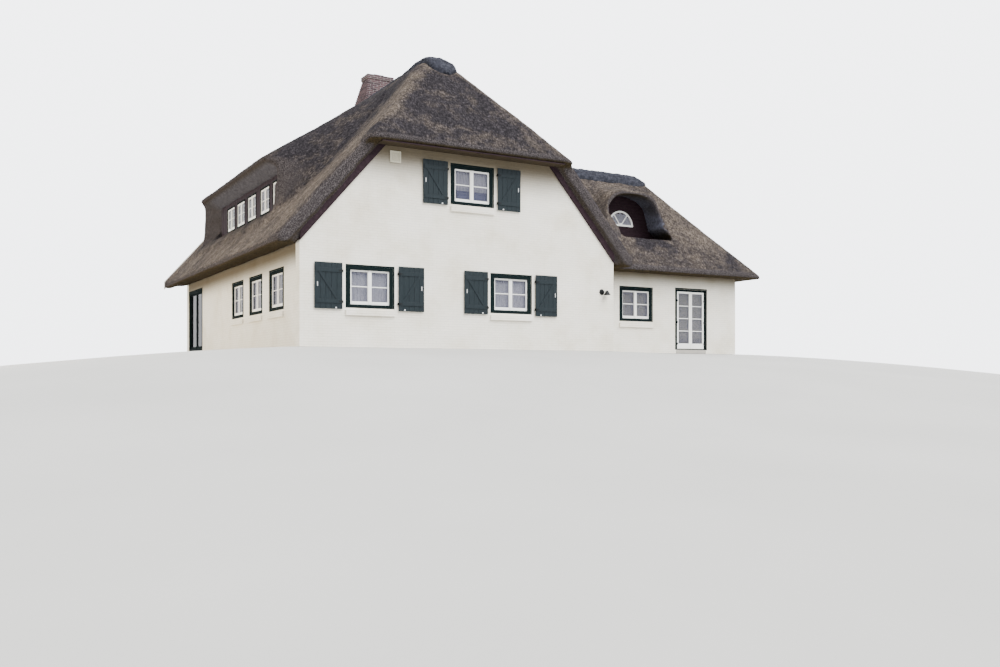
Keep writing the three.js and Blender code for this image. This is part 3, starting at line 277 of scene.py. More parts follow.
def brushed_lime_paint(name, shade_from, shade_full):
    """Matt white that wears in clouds some 1 m wide, with brush marks of 15 mm over soft courses, and a painted
    olive-brown shade that deepens up to the eaves.
    """
    made, tree, shader, place = surface(name, 0.9)
    axes = node(tree, "SeparateXYZ", {}, {"Vector": place})
    along = node(tree, "Math", {"operation": "ADD"}, {0: axes.outputs["X"], 1: axes.outputs["Y"]})
    face = node(tree, "CombineXYZ", {}, {"X": along, "Y": axes.outputs["Z"]})
    wander = node(tree, "TexNoise", {"Scale": 1.3, "Detail": 2.0}, {"Vector": place})
    shifted = node(tree, "VectorMath", {"operation": "MULTIPLY_ADD", 1: (0.02, 0.02, 0)},
                   {0: wander.outputs["Color"], 2: face})
    courses = node(tree, "TexBrick", {
        "Scale": 1.0, "Brick Width": BRICK["length"] + BRICK["joint"], "Row Height": BRICK["height"] + BRICK["joint"],
        "Mortar Size": BRICK["joint"] / 2, "Mortar Smooth": 0.6,
        "Color1": (1, 1, 1, 1), "Color2": (0.72, 0.72, 0.72, 1), "Mortar": (0, 0, 0, 1)}, {"Vector": shifted})
    worn = node(tree, "TexNoise", {"Scale": 0.9, "Detail": 5.0, "Roughness": 0.6}, {"Vector": place})
    white = node(tree, "ValToRGB", {"stops": LIME_WHITE}, {"Fac": worn})
    joints = node(tree, "MixRGB", {"blend_type": "MULTIPLY", "Fac": 0.16}, {
        "Color1": white, "Color2": courses.outputs["Color"]})
    # Painted shade: towards the top of the wall the white is multiplied towards olive brown, standing in for the shade
    # under the eaves.
    painted_light = node(tree, "MapRange", {
        "interpolation_type": "SMOOTHSTEP", "From Min": shade_from, "From Max": shade_full, "To Max": PAINTED_EAVE_SHADE["most"]}, {
        "Value": axes.outputs["Z"]})
    shaded_under_eaves = node(tree, "MixRGB", {"blend_type": "MULTIPLY", "Color2": colour(PAINTED_EAVE_SHADE["colour"])}, {
        "Fac": painted_light, "Color1": joints})
    brush = node(tree, "TexNoise", {"Scale": 60.0, "Detail": 3.0}, {"Vector": place})
    height = node(tree, "Math", {"operation": "MULTIPLY_ADD", 1: 0.2}, {0: brush, 2: courses.outputs["Color"]})
    coated(tree, shader, shaded_under_eaves, height, 0.8, 0.005)
    return made


for group, walls in WALLS.items():
    lime_paint = brushed_lime_paint("lime_paint_on_brick_" + group, *PAINTED_EAVE_SHADE[group])
    for wall in walls:
        finish(wall, lime_paint)


# Main thatch. Water reed laid half a metre thick, cut square at verges and eaves, and dressed to
# one skin with the long dormer's. The pieces of the frame are grown together here and rounded as
# the thatcher's bat rounds them.
MAIN_THATCH = ("thatch_left_slope", "thatch_right_slope", "thatch_front_half_hip", "thatch_back_half_hip",
               "dormer_thatch")
RIDGE_X, HOUSE_WIDTH = 4.745, 9.49
EAVES = {"edge": 3.40, "rise": 1.15}
HALF_HIPS = {"edge": 5.35, "rise": 1.19, "front": -0.5, "back": 14.3}
MAIN_ROUNDING = {"ridge": 1.9, "hip": 0.5, "hood": 0.12, "hood_top": 0.3}
HOOD = {"edge": 5.52, "rise": 0.66, "x": 0.3, "rising": (2.3, 4.35), "falling": (12.25, 13.70)}
CHEEK = {"near": 3.88, "far": 12.40, "from": 0.4, "to": 0.6, "spread": (0.25, 1.0), "closing": 1.5}
MAIN_REACH = {"x": (-0.597, 10.087), "y": (-0.497, 14.297)}
SKIN = {"main_grain": 0.07, "wing_grain": 0.055, "rounds": 4, "near": 0.07, "far": 0.16, "level": (0.15, 0.4)}
BROAD_LUMPS, SMALL_LUMPS, LUMP_SEED = (1.4, 0.02), (0.3, 0.012), 5.0
SINK = {"depth": 0.10, "front": (0.45, 0.95), "back": (13.0, 13.5), "hip": (0.1, 0.9), "ridge": (0.8, 1.5)}
VERGE_GROOVE = {"below": 0.26, "width": 0.06, "depth": 0.05}
REED = {"width": 0.021, "straw": 0.10, "cut_end": 0.02}
FRESH_REED = [(0.38, "#2E2925"), (0.5, "#504840"), (0.62, "#82766A")]
OLD_REED = [(0.38, "#121113"), (0.5, "#222022"), (0.62, "#3F3B3E")]
CUT_ENDS = [(0.38, "#1B191A"), (0.5, "#353132"), (0.62, "#5A5555")]
SOFFIT_REED = [(0.4, "#211C14"), (0.6, "#3F3624")]
PAINTED_FILL_LIGHT_REED = [(0.4, "#585B6B"), (0.6, "#83879B")]
MAIN_AGE = {"plain": 0.5, "left": -0.12, "painted_shade_behind_roll": 0.65, "hood": 0.3, "hip": 1.1, "verge": 0.75}
AGED = {"hip": (-0.4, 0.8), "low_hip": (6.3, 5.6), "left": (0.5, -0.5), "hood": (0.1, 0.5), "verge": (0.35, -0.1),
        "roll": (1.3, 2.8), "high": (3.7, 5.1)}
UNDER_HOOD = {"x": (0.2, 1.3), "y": (3.6, 12.3), "below": (0.05, 0.35), "high": (4.5, 5.0), "far_end": (10.8, 11.6)}
FAR_CHEEK = {"x": (0.1, 2.0), "y": 12.2, "below": (0.35, 0.9), "share": 0.75}


def belongs(piece, body, slot_name=None, *nodes):
    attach(piece, body)
    if nodes:
        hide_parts(*nodes)
    return piece


def soft_min(a, b, rounding):
    closeness = np.maximum(rounding - np.abs(a - b), 0) / rounding
    return np.minimum(a, b) - closeness ** 2 * rounding / 4


def soft_max(a, b, rounding):
    return -soft_min(-a, -b, rounding)


def soft_step(low, high, value):
    share = np.clip((value - low) / (high - low), 0, 1)
    return share * share * (3 - 2 * share)


def side_slopes(x):
    left = EAVES["edge"] + EAVES["rise"] * x
    right = EAVES["edge"] + EAVES["rise"] * (HOUSE_WIDTH - x)
    return soft_min(left, right, MAIN_ROUNDING["ridge"])


def hip_slopes(y):
    front = HALF_HIPS["edge"] + HALF_HIPS["rise"] * (y - HALF_HIPS["front"])
    back = HALF_HIPS["edge"] + HALF_HIPS["rise"] * (HALF_HIPS["back"] - y)
    return front, back


def main_roof(x, y):
    front, back = hip_slopes(y)
    rounding = MAIN_ROUNDING["hip"]
    return soft_min(soft_min(side_slopes(x), front, rounding), back, rounding)


def hood_share(y):
    return soft_step(*HOOD["rising"], y) * (1 - soft_step(*HOOD["falling"], y))


def cheek_share(x, y):
    """A steep cheek at each end of the windows, which lies down as it spreads away from them."""
    out = np.maximum(CHEEK["near"] - y, y - CHEEK["far"])
    low = CHEEK["from"] + np.where(out > 0, CHEEK["spread"][0], CHEEK["closing"]) * out
    high = CHEEK["to"] + np.where(out > 0, CHEEK["spread"][1], CHEEK["closing"]) * out
    return soft_step(low, high, x)


def hood_roof(x, y):
    hood = HOOD["edge"] + HOOD["rise"] * (x - HOOD["x"])
    slope = EAVES["edge"] + EAVES["rise"] * x
    lifted = slope + hood_share(y) * cheek_share(x, y) * np.maximum(hood - slope, 0)
    hooded = soft_max(main_roof(x, y), lifted, MAIN_ROUNDING["hood"])
    return soft_min(hooded, hip_slopes(y)[1], MAIN_ROUNDING["hood_top"])


def grown_together(name, node_names, grain, extra=()):
    """One skin round copies of several pieces, as a mesh."""
    joined = bmesh.new()
    for item in [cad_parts[n].data for n in node_names] + list(extra):
        joined.from_mesh(item)
    mesh = bpy.data.meshes.new(name)
    joined.to_mesh(mesh)
    joined.free()
    shell = placed(name, mesh)
    skin = shell.modifiers.new("skin", "REMESH")
    skin.mode = "VOXEL"
    skin.voxel_size = grain
    bpy.context.view_layer.update()
    grown = bpy.data.meshes.new_from_object(shell.evaluated_get(bpy.context.evaluated_depsgraph_get()))
    bpy.data.objects.remove(shell)
    bpy.data.meshes.remove(mesh)
    grown.name = name
    return grown


def each_corner(mesh, what):
    """The place, or the normal, of each corner of a mesh."""
    values = np.empty(len(mesh.vertices) * 3)
    mesh.vertices.foreach_get(what, values)
    return values.reshape(-1, 3)


def set_places(mesh, places):
    mesh.vertices.foreach_set("co", places.ravel())
    mesh.update()


def relaxed(mesh, share=0.5):
    """Each corner moves towards the middle of its neighbours, which rounds edges."""
    ends = np.empty(len(mesh.edges) * 2, dtype=int)
    mesh.edges.foreach_get("vertices", ends)
    a, b = ends.reshape(-1, 2).T
    places = each_corner(mesh, "co")
    count = np.bincount(a, minlength=len(places)) + np.bincount(b, minlength=len(places))
    for _ in range(SKIN["rounds"]):
        total = np.zeros_like(places)
        for axis in range(3):
            total[:, axis] = sum(np.bincount(i, places[j, axis], len(places)) for i, j in ((a, b), (b, a)))
        places += share * (total / count[:, None] - places)
    set_places(mesh, places)


def uneven(places, size, amount, seed=0.0):
    """Gentle lumps of a given size, as one height for each place."""
    shift = Vector((seed, seed * 1.7, seed * 0.3))
    return np.array([noise.noise(Vector(p) / size + shift) for p in places]) * amount


def lumps(spots, seed):
    return uneven(spots, *BROAD_LUMPS, seed) + uneven(spots, *SMALL_LUMPS, seed + LUMP_SEED)


def settle(places, normals, roofs):
    """Top faces that lie near a roof's smooth form are laid on it; the rest keep their place."""
    heights = np.stack([roof(places[:, 0], places[:, 1]) for roof in roofs])
    gaps = heights - places[None, :, 2]
    best = np.take_along_axis(gaps, np.abs(gaps).argmin(axis=0)[None], axis=0)[0]
    share = (1 - soft_step(SKIN["near"], SKIN["far"], np.abs(best))) * soft_step(*SKIN["level"], normals[:, 2])
    places[:, 2] += best * share
    return share


def rounded_thatch(name, pieces, grain, roofs, extra=()):
    """The skin's mesh, its corners from the foot of the house's corner, the way each faces, and
    how firmly each was laid on the roof's form."""
    mesh = grown_together(name, pieces, grain, extra)
    relaxed(mesh)
    spots, facing = each_corner(mesh, "co") + HOUSE_CORNER, each_corner(mesh, "normal")
    return mesh, spots, facing, settle(spots, facing, roofs)


def weathered_reed():
    """Reed too fine to show is drawn as bundles some 20 mm wide, which run down each slope. It is
    dull and grey brown, darker in clouds some 0.8 m wide where it has aged, speckled where its ends
    are cut, and brown underneath. Its age also carries a painted shade behind the front verge roll,
    and deep under the hood and in the niche it is painted a lighter blue grey, a painted fill of sky light."""
    made, tree, shader, place = surface("weathered_water_reed", 1.0, Specular_IOR_Level=0.02)
    facing = node(tree, "NewGeometry").outputs["Normal"]
    steep = node(tree, "VectorMath", {"operation": "ABSOLUTE"}, {0: facing})
    turned = node(tree, "SeparateXYZ", {}, {"Vector": steep})
    sideways = node(tree, "Math", {"operation": "SUBTRACT"}, {0: turned.outputs["X"], 1: turned.outputs["Y"]})
    wobble = node(tree, "TexNoise", {"Scale": 3.0, "Detail": 2.0}, {"Vector": place})
    unsure = node(tree, "Math", {"operation": "MULTIPLY_ADD", 1: 0.6}, {0: wobble, 2: sideways})
    side_share = node(tree, "MapRange", {"From Min": 0.05, "From Max": 0.55}, {"Value": unsure})
    wide, long = 1 / REED["width"], 1 / REED["straw"]
    patterns = []
    for stretch in ((wide, long, long), (long, wide, long)):
        drawn = node(tree, "Mapping", {"Scale": stretch}, {"Vector": place})
        patterns.append(node(tree, "TexNoise", {"Scale": 1.0, "Detail": 3.0, "Roughness": 0.7}, {"Vector": drawn}))
    straws = node(tree, "MixRGB", {}, {"Fac": side_share, "Color1": patterns[0], "Color2": patterns[1]})
    tufts = node(tree, "TexNoise", {"Scale": 14.0, "Detail": 4.0, "Roughness": 0.75}, {"Vector": place})
    grain = node(tree, "MixRGB", {"Fac": 0.45}, {"Color1": straws, "Color2": tufts})
    specks = node(tree, "TexNoise", {
        "Scale": 1 / REED["cut_end"], "Detail": 2.0, "Roughness": 0.8}, {"Vector": place})
    fresh, old, soffit, painted_light, cut_ends = (
        node(tree, "ValToRGB", {"stops": stops}, {"Fac": specks if stops is CUT_ENDS else grain})
        for stops in (FRESH_REED, OLD_REED, SOFFIT_REED, PAINTED_FILL_LIGHT_REED, CUT_ENDS))
    age = node(tree, "Attribute", {"attribute_name": "age"})
    clouds = node(tree, "TexNoise", {"Scale": 1.3, "Detail": 6.0, "Roughness": 0.7}, {"Vector": place})
    patchy = node(tree, "Math", {"operation": "MULTIPLY_ADD", 1: 2.2, 2: -1.1}, {0: clouds})
    aged = node(tree, "Math", {"operation": "ADD", "use_clamp": True}, {0: age.outputs["Fac"], 1: patchy})
    tone = node(tree, "MixRGB", {}, {"Fac": aged, "Color1": fresh, "Color2": old})
    up = node(tree, "SeparateXYZ", {}, {"Vector": facing}).outputs["Z"]
    upright, below = (node(tree, "MapRange", {
        "From Min": first, "From Max": last, "To Min": 0.0, "To Max": 0.9}, {"Value": up})
        for first, last in ((0.5, 0.2), (-0.35, -0.8)))
    faced = node(tree, "MixRGB", {}, {"Fac": upright, "Color1": tone, "Color2": cut_ends})
    # Painted light: where this share is set, the reed takes a lighter blue grey, a fill of sky light painted into
    # shaded hollows.
    hollow = node(tree, "Attribute", {"attribute_name": "hollow"}).outputs["Fac"]
    underside_and_painted_light = node(tree, "MixRGB", {}, {"Fac": hollow, "Color1": soffit, "Color2": painted_light})
    hidden = node(tree, "Math", {"operation": "MAXIMUM"}, {0: below, 1: hollow})
    shaded = node(tree, "MixRGB", {}, {"Fac": hidden, "Color1": faced, "Color2": underside_and_painted_light})
    coated(tree, shader, shaded, grain, 0.8, 0.015)
    return made


def thatched(mesh, pieces, **shares):
    """Each corner keeps its age, from 0 for fresh to 1 for old, with some painted shade in it, and how much painted
    fill light it takes in a hollow.
    """
    for name, share in shares.items():
        layer = mesh.attributes.new(name, "FLOAT", "POINT")
        layer.data.foreach_set("value", np.clip(share, 0, 1).astype(np.float32))
    mesh.materials.append(reed)
    mesh.shade_smooth()
    belongs(placed(mesh.name, mesh), "house", "reed_thatch", *pieces)


reed = weathered_reed()
thatch_mesh, spots, facing, laid = rounded_thatch(
    "main_thatch", MAIN_THATCH, SKIN["main_grain"], (main_roof, hood_roof))
x, y, z = spots.T
front_hip, back_hip = hip_slopes(y)
sides = side_slopes(x)
off_verge = soft_step(*SINK["front"], y) * (1 - soft_step(*SINK["back"], y))
off_hips = soft_step(*SINK["hip"], front_hip - sides) * soft_step(*SINK["hip"], back_hip - sides)
off_ridge = soft_step(*SINK["ridge"], np.abs(x - RIDGE_X))
z -= SINK["depth"] * laid * off_verge * off_hips * off_ridge * (1 - hood_share(y) * (x > UNDER_HOOD["x"][0]))
depth = main_roof(x, y) - z
groove = np.exp(-((depth - VERGE_GROOVE["below"]) / VERGE_GROOVE["width"]) ** 2) * (facing[:, 1] < -0.5) * (y < 0.0)
y += VERGE_GROOVE["depth"] * groove
spots += facing * lumps(spots, 0.0)[:, None]
np.clip(x, *MAIN_REACH["x"], out=x)
np.clip(y, *MAIN_REACH["y"], out=y)
set_places(thatch_mesh, spots - HOUSE_CORNER)
on_hip = soft_step(*AGED["hip"], sides - front_hip) * (1 - 0.2 * soft_step(*AGED["low_hip"], z))
on_left = soft_step(*AGED["left"], x - RIDGE_X)
on_hood = hood_share(y) * soft_step(*AGED["hood"], x) * on_left
# Painted shade: high on the left slope, behind the front verge roll, the reed is made darker through its age, where the
# hollow behind the roll lies in shade.
painted_shade_behind_roll = soft_step(*AGED["roll"], y) * soft_step(*AGED["high"], z)
ages = MAIN_AGE["plain"] + MAIN_AGE["left"] * on_left + MAIN_AGE["painted_shade_behind_roll"] * on_left * painted_shade_behind_roll
ages = np.maximum(ages + MAIN_AGE["hood"] * on_hood, MAIN_AGE["hip"] * on_hip)
ages = np.maximum(ages, MAIN_AGE["verge"] * soft_step(*AGED["verge"], y))
# Deep under the hood and in its far cheek the reed gets painted fill light: a lighter blue grey where shade falls.
(x0, x1), (y0, y1) = UNDER_HOOD["x"], UNDER_HOOD["y"]
under_hood = (x > x0) * (x < x1) * (y > y0) * (y < y1) * (facing[:, 2] < 0.2)
under_hood = under_hood * soft_step(*UNDER_HOOD["below"], hood_roof(x, y) - z) * soft_step(*UNDER_HOOD["high"], z)
x0, x1 = FAR_CHEEK["x"]
far_cheek = (x > x0) * (x < x1) * (y > FAR_CHEEK["y"]) * (facing[:, 1] < -0.3) * (facing[:, 2] < 0.5)
far_cheek = far_cheek * soft_step(*FAR_CHEEK["below"], hood_roof(x, FAR_CHEEK["y"]) - z)
painted_light_under_hood = under_hood * (0.32 - 0.12 * soft_step(*UNDER_HOOD["far_end"], y))
thatched(thatch_mesh, MAIN_THATCH, age=ages, hollow=np.maximum(painted_light_under_hood, FAR_CHEEK["share"] * far_cheek))


# Wing thatch. The same reed on the lower wing, swept up into the main slope so that no line shows
# in the valley, and lifted like an eyelid over the little arched niche.
WING_THATCH = ("wing_thatch_front", "wing_thatch_back", "wing_thatch_hip", "eyebrow_thatch")
WING = {"front": 1.2, "back": 6.4, "right": 15.48, "hip_rise": 1.28, "ridge_rounding": 1.0, "ridge_y": 3.8,
        "end": 16.077}
EYEBROW = {"x": 11.63, "top": 5.20, "edge_y": 1.75, "rise": 0.25, "fall": 0.39, "power": 5, "blend": 0.4}
VALLEY = {"sweep": 0.9, "x": (5.6, 10.75), "y": (0.66, 6.95), "step": 0.09, "dive": 0.28, "bed": 0.45, "thin": 0.03}
EAVE_SOFFIT = 2.5
IN_NICHE = {"x": (11.9, 1.5), "y": (1.25, 2.7), "z": 3.3, "share": 0.85, "below": (0.08, 0.4),
            "left": (11.1, 11.7), "low": (3.8, 4.2)}
BELOW_NICHE = {"x": (12.0, 0.6), "foot": (3.2, 3.55), "front": (2.3, 2.1), "head": (4.1, 3.9)}
WING_AGE = {"plain": 0.52, "eaves": 0.25, "ridge": 0.2, "below_niche": 0.5, "low": (3.7, 2.9), "high": (5.2, 5.9)}


def wing_roof(x, y):
    front = EAVES["edge"] + EAVES["rise"] * (y - WING["front"])
    back = EAVES["edge"] + EAVES["rise"] * (WING["back"] - y)
    hip = EAVES["edge"] + WING["hip_rise"] * (WING["right"] - x)
    return soft_min(soft_min(front, back, WING["ridge_rounding"]), hip, MAIN_ROUNDING["hip"])


def swept_roof(x, y):
    return soft_max(main_roof(x, y), wing_roof(x, y), VALLEY["sweep"]) - 0.008


def eyebrow_roof(x, y):
    lid = EYEBROW["top"] + EYEBROW["rise"] * (y - EYEBROW["edge_y"])
    lid = lid - EYEBROW["fall"] * np.abs(x - EYEBROW["x"]) ** EYEBROW["power"]
    return soft_max(wing_roof(x, y), lid, EYEBROW["blend"])


def valley_filling():
    """The bed of the swept valley: its top is the sweep, and it dives under both roofs beyond it."""
    xs, ys = np.meshgrid(*(np.arange(*VALLEY[axis], VALLEY["step"]) for axis in ("x", "y")))
    high, low = (pick(main_roof(xs, ys), wing_roof(xs, ys)) for pick in (np.maximum, np.minimum))
    beyond = soft_step(VALLEY["sweep"] * 0.9, VALLEY["sweep"] * 1.3, high - low)
    top = swept_roof(xs, ys) - VALLEY["dive"] * beyond
    bottom = np.minimum(np.maximum(high - VALLEY["bed"], EAVE_SOFFIT + VALLEY["thin"]), top - VALLEY["thin"])
    layers = [np.stack([xs.ravel(), ys.ravel(), level.ravel()], axis=1) - HOUSE_CORNER for level in (top, bottom)]
    upper, count = grid_faces(*xs.shape), top.size
    at = np.arange(count).reshape(xs.shape)
    rim = np.concatenate([at[0, :-1], at[:-1, -1], at[-1, :0:-1], at[:0:-1, 0]])
    after = np.roll(rim, -1)
    walls = np.stack([rim, rim + count, after + count, after], axis=1)
    mesh = bpy.data.meshes.new("valley_filling")
    faces = np.concatenate([upper, upper[:, ::-1] + count, walls])
    mesh.from_pydata(np.concatenate(layers).tolist(), [], faces.tolist())
    return mesh


wing_mesh, spots, facing, laid = rounded_thatch(
    "wing_thatch", WING_THATCH, SKIN["wing_grain"], (swept_roof, eyebrow_roof), [valley_filling()])
spots += facing * lumps(spots, 3.0)[:, None]
x, y, z = spots.T
np.clip(x, None, WING["end"], out=x)
set_places(wing_mesh, spots - HOUSE_CORNER)
# In the niche under the lifted eyebrow the reed gets painted fill light too: a lighter blue grey where shade falls.
(middle, half), (y0, y1) = IN_NICHE["x"], IN_NICHE["y"]
in_niche = (np.abs(x - middle) < half) * (y > y0) * (y < y1) * (z > IN_NICHE["z"]) * (facing[:, 2] < 0.35)
below_lid = np.maximum(swept_roof(x, y), eyebrow_roof(x, y)) - z
in_niche = IN_NICHE["share"] * in_niche * soft_step(*IN_NICHE["below"], below_lid)
in_niche = in_niche * soft_step(*IN_NICHE["left"], x) * soft_step(*IN_NICHE["low"], z)
middle, half = BELOW_NICHE["x"]
below_niche = np.exp(-((x - middle) / half) ** 4) * soft_step(*BELOW_NICHE["foot"], z)
below_niche = below_niche * soft_step(*BELOW_NICHE["front"], y) * soft_step(*BELOW_NICHE["head"], z)
ages = WING_AGE["plain"] + WING_AGE["eaves"] * soft_step(*WING_AGE["low"], z)
ages = ages + WING_AGE["ridge"] * soft_step(*WING_AGE["high"], z) + WING_AGE["below_niche"] * below_niche
thatched(wing_mesh, WING_THATCH, age=ages, hollow=in_niche)


# Ridge caps. Heather pegged down over the ridge in a thick mat, whose lower edges are left ragged
# and whose front end is packed into a mound. It is a rough blue black in clumps of some 110 mm.
CAP = {"half": 0.64, "from": 1.597, "to": 12.203, "settled": 0.07, "lean": 0.35, "mound": 0.07}
WING_CAP = {"half": 0.52, "from": 6.3, "to": 13.59, "settled": 0.0, "lean": 0.0, "mound": 0.0}
MAT = {"depth": 0.10, "edge": 0.02, "below": 0.06, "station": 0.07, "across": 27, "mound_at": 0.45, "mound_width": 0.4,
       "ragged": ((0.06, 1.6, 3, 1), (0.03, 7, 5, 2)), "settling": (0.9, 1.7), "clumps": (0.16, 0.03, 2.0),
       "sprigs": (0.05, 0.012, 4.0)}
HEATHER = [(0.3, "#18181C"), (0.5, "#2B2C33"), (0.7, "#45464D")]


def ridge_cap(name, roof, ridge_place, cap):
    """A mat from one end of a ridge to the other, level across, thin and ragged at its edges."""
    stations = np.arange(cap["from"], cap["to"] + 0.001, MAT["station"])
    across = np.linspace(-1, 1, MAT["across"])
    rows = []
    for s in stations:
        for lift in (1, 0):
            for t in across[::1 if lift else -1]:
                side = math.copysign(1, t)
                ragged = sum(amount * noise.noise(Vector((s * often, side * row, row_from)))
                             for amount, often, row, row_from in MAT["ragged"])
                end = min(s - cap["from"], cap["to"] - s) + 0.02
                closing = math.sqrt(1 - max(1 - end / cap["half"], 0) ** 2)
                mounded = math.exp(-((s - cap["from"] - MAT["mound_at"]) / MAT["mound_width"]) ** 2)
                reach = t * max((cap["half"] + ragged) * closing, 0.02) * (1 - cap["lean"] * mounded * (t < 0))
                rows.append((s, reach, t, lift, mounded))
    s, reach, t, lift, front = np.array(rows).T
    xs, ys = ridge_place(s, reach)
    body = (1 - np.abs(t) ** 6) ** 0.5
    settled = cap["settled"] * soft_step(*MAT["settling"], s - cap["from"])
    thick = MAT["edge"] + (MAT["depth"] - MAT["edge"] + cap["mound"] * front - settled) * body
    heights = roof(xs, ys) + lift * thick - (1 - lift) * MAT["below"]
    corners = np.stack([xs, ys, heights], axis=1) - HOUSE_CORNER
    corners[:, 2] += (uneven(corners, *MAT["clumps"]) + uneven(corners, *MAT["sprigs"])) * lift
    at = np.arange(len(corners)).reshape(-1, 2 * len(across))
    walls = np.stack([at[:-1], np.roll(at[:-1], -1, 1), np.roll(at[1:], -1, 1), at[1:]], axis=-1).reshape(-1, 4)
    return mesh_object(name, corners, list(walls) + [tuple(at[0][::-1]), tuple(at[-1])], heather, smooth=True)


heather = mottled("weathered_heather", 1.0, 9.0, HEATHER, 8.0, bump=(1.0, 0.05), coarse=0.75, Specular_IOR_Level=0.05)
main_cap = ridge_cap("main_heather_cap", main_roof, lambda s, r: (RIDGE_X + r, s), CAP)
belongs(main_cap, "house", "heather_ridge", "main_ridge_cap")
wing_cap = ridge_cap("wing_heather_cap", swept_roof, lambda s, r: (s, WING["ridge_y"] + r), WING_CAP)
belongs(wing_cap, "house", "heather_ridge", "wing_ridge_cap")


# Chimney. Red-brown bricks in lime mortar, battered in from the shoulders to the head, with a
# course that stands out at the top and a lead plate over the flue.
CHIMNEY = {"y": 6.875, "foot": (0.55, 0.61), "slab": 0.1205, "bricks_from": 7.36, "batter_from": 8.0, "neck": 8.99,
           "top": 9.13}
CHIMNEY_HEAD = {"x": 4.805, "y": 6.665, "half": (0.44, 0.265), "corbel": 0.025, "course_below": 0.05}
BRICK_DEPTH, MORTAR_SET_BACK, LAP = 0.108, 0.006, 0.001
CLAY = [(0.0, "#3A2C33"), (0.35, "#4E3B42"), (0.7, "#5F494D"), (1.0, "#45393F")]
SOOT = [(0.3, "#8A7C78"), (0.7, "#FFF4EE")]
MORTAR = [(0.35, "#7E7876"), (0.65, "#9C9692")]
LEAD = [(0.35, "#56595C"), (0.65, "#8A8E92")]
FLUE_PLATE = [(-0.17, 0.17, -0.13, 0.13, 0.04, 0.06), (-0.15, -0.12, -0.11, 0.11, -0.02, 0.042),
              (0.12, 0.15, -0.11, 0.11, -0.02, 0.042)]


def blocks(name, boxes, item, eased=0.003, place=None, body="house", slot_name=None, nodes=(), posts=()):
    """Separate blocks with eased edges, as x0, x1, y0, y1, z0, z1 from where the piece is placed, and
    round posts, as x, y, z0, z1, radius."""
    work = bmesh.new()
    for x, y, z0, z1, radius in posts:
        middle = Matrix.Translation((x, y, (z0 + z1) / 2))
        bmesh.ops.create_cone(
            work, cap_ends=True, segments=16, radius1=radius, radius2=radius, depth=z1 - z0, matrix=middle)
    for x0, x1, y0, y1, z0, z1 in boxes:
        size = Matrix.Diagonal((x1 - x0, y1 - y0, z1 - z0, 1))
        middle = Matrix.Translation(((x0 + x1) / 2, (y0 + y1) / 2, (z0 + z1) / 2))
        bmesh.ops.create_cube(work, size=1, matrix=middle @ size)
    if eased:
        bmesh.ops.bevel(work, geom=work.edges[:], offset=eased, segments=1, affect="EDGES")
    mesh = bpy.data.meshes.new(name)
    work.to_mesh(mesh)
    work.free()
    mesh.materials.append(item)
    return belongs(placed(name, mesh, place), body, slot_name, *nodes)


def fired_clay():
    """Matt brick, each one in its own tone, with soot in patches some 45 mm wide."""
    made, tree, shader, place = surface("fired_clay_brick", 0.9)
    each = node(tree, "NewGeometry").outputs["Random Per Island"]
    tones = node(tree, "ValToRGB", {"stops": CLAY}, {"Fac": each})
    sooty = node(tree, "TexNoise", {"Scale": 22.0, "Detail": 6.0}, {"Vector": place})
    soot = node(tree, "ValToRGB", {"stops": SOOT}, {"Fac": sooty})
    worn = node(tree, "MixRGB", {"blend_type": "MULTIPLY", "Fac": 0.7}, {"Color1": tones, "Color2": soot})
    coated(tree, shader, worn, sooty, 0.6, 0.003)
    return made


def chimney_plan(z):
    """The middle and half sizes of the stack at a height."""
    share = max(0.0, min(1.0, (z - CHIMNEY["batter_from"]) / (CHIMNEY["neck"] - CHIMNEY["batter_from"])))
    foot = (RIDGE_X, CHIMNEY["y"], *CHIMNEY["foot"])
    head = (CHIMNEY_HEAD["x"], CHIMNEY_HEAD["y"], *CHIMNEY_HEAD["half"])
    x, y, a, b = (f + (h - f) * share for f, h in zip(foot, head))
    out = CHIMNEY_HEAD["corbel"] if z > CHIMNEY["neck"] + CHIMNEY_HEAD["course_below"] else 0.0
    return house(x, y), a + out, b + out


def chimney_courses():
    course = BRICK["height"] + BRICK["joint"]
    rows = round((CHIMNEY["top"] - CHIMNEY["bricks_from"]) / course)
    return [CHIMNEY["top"] - (rows - row) * course for row in range(rows)]


def chimney_brickwork():
    boxes = []
    for row, z in enumerate(chimney_courses()):
        middle, a, b = chimney_plan(z + BRICK["height"])
        for turned in (False, True):
            long, short = (b, a) if turned else (a, b)
            inset = 0.0 if (row % 2 == 0) != turned else BRICK_DEPTH + BRICK["joint"]
            count = max(2, round(2 * (long - inset) / (BRICK["length"] + BRICK["joint"])))
            step = (2 * (long - inset) + BRICK["joint"]) / count
            for k in range(count):
                start = -long + inset + k * step
                end = start + step - BRICK["joint"]
                for side in (-1, 1):
                    face = sorted((side * short, side * (short - BRICK_DEPTH)))
                    x0, x1, y0, y1 = (*face, start, end) if turned else (start, end, *face)
                    boxes.append((middle.x + x0, middle.x + x1, middle.y + y0, middle.y + y1, z, z + BRICK["height"]))
    return boxes


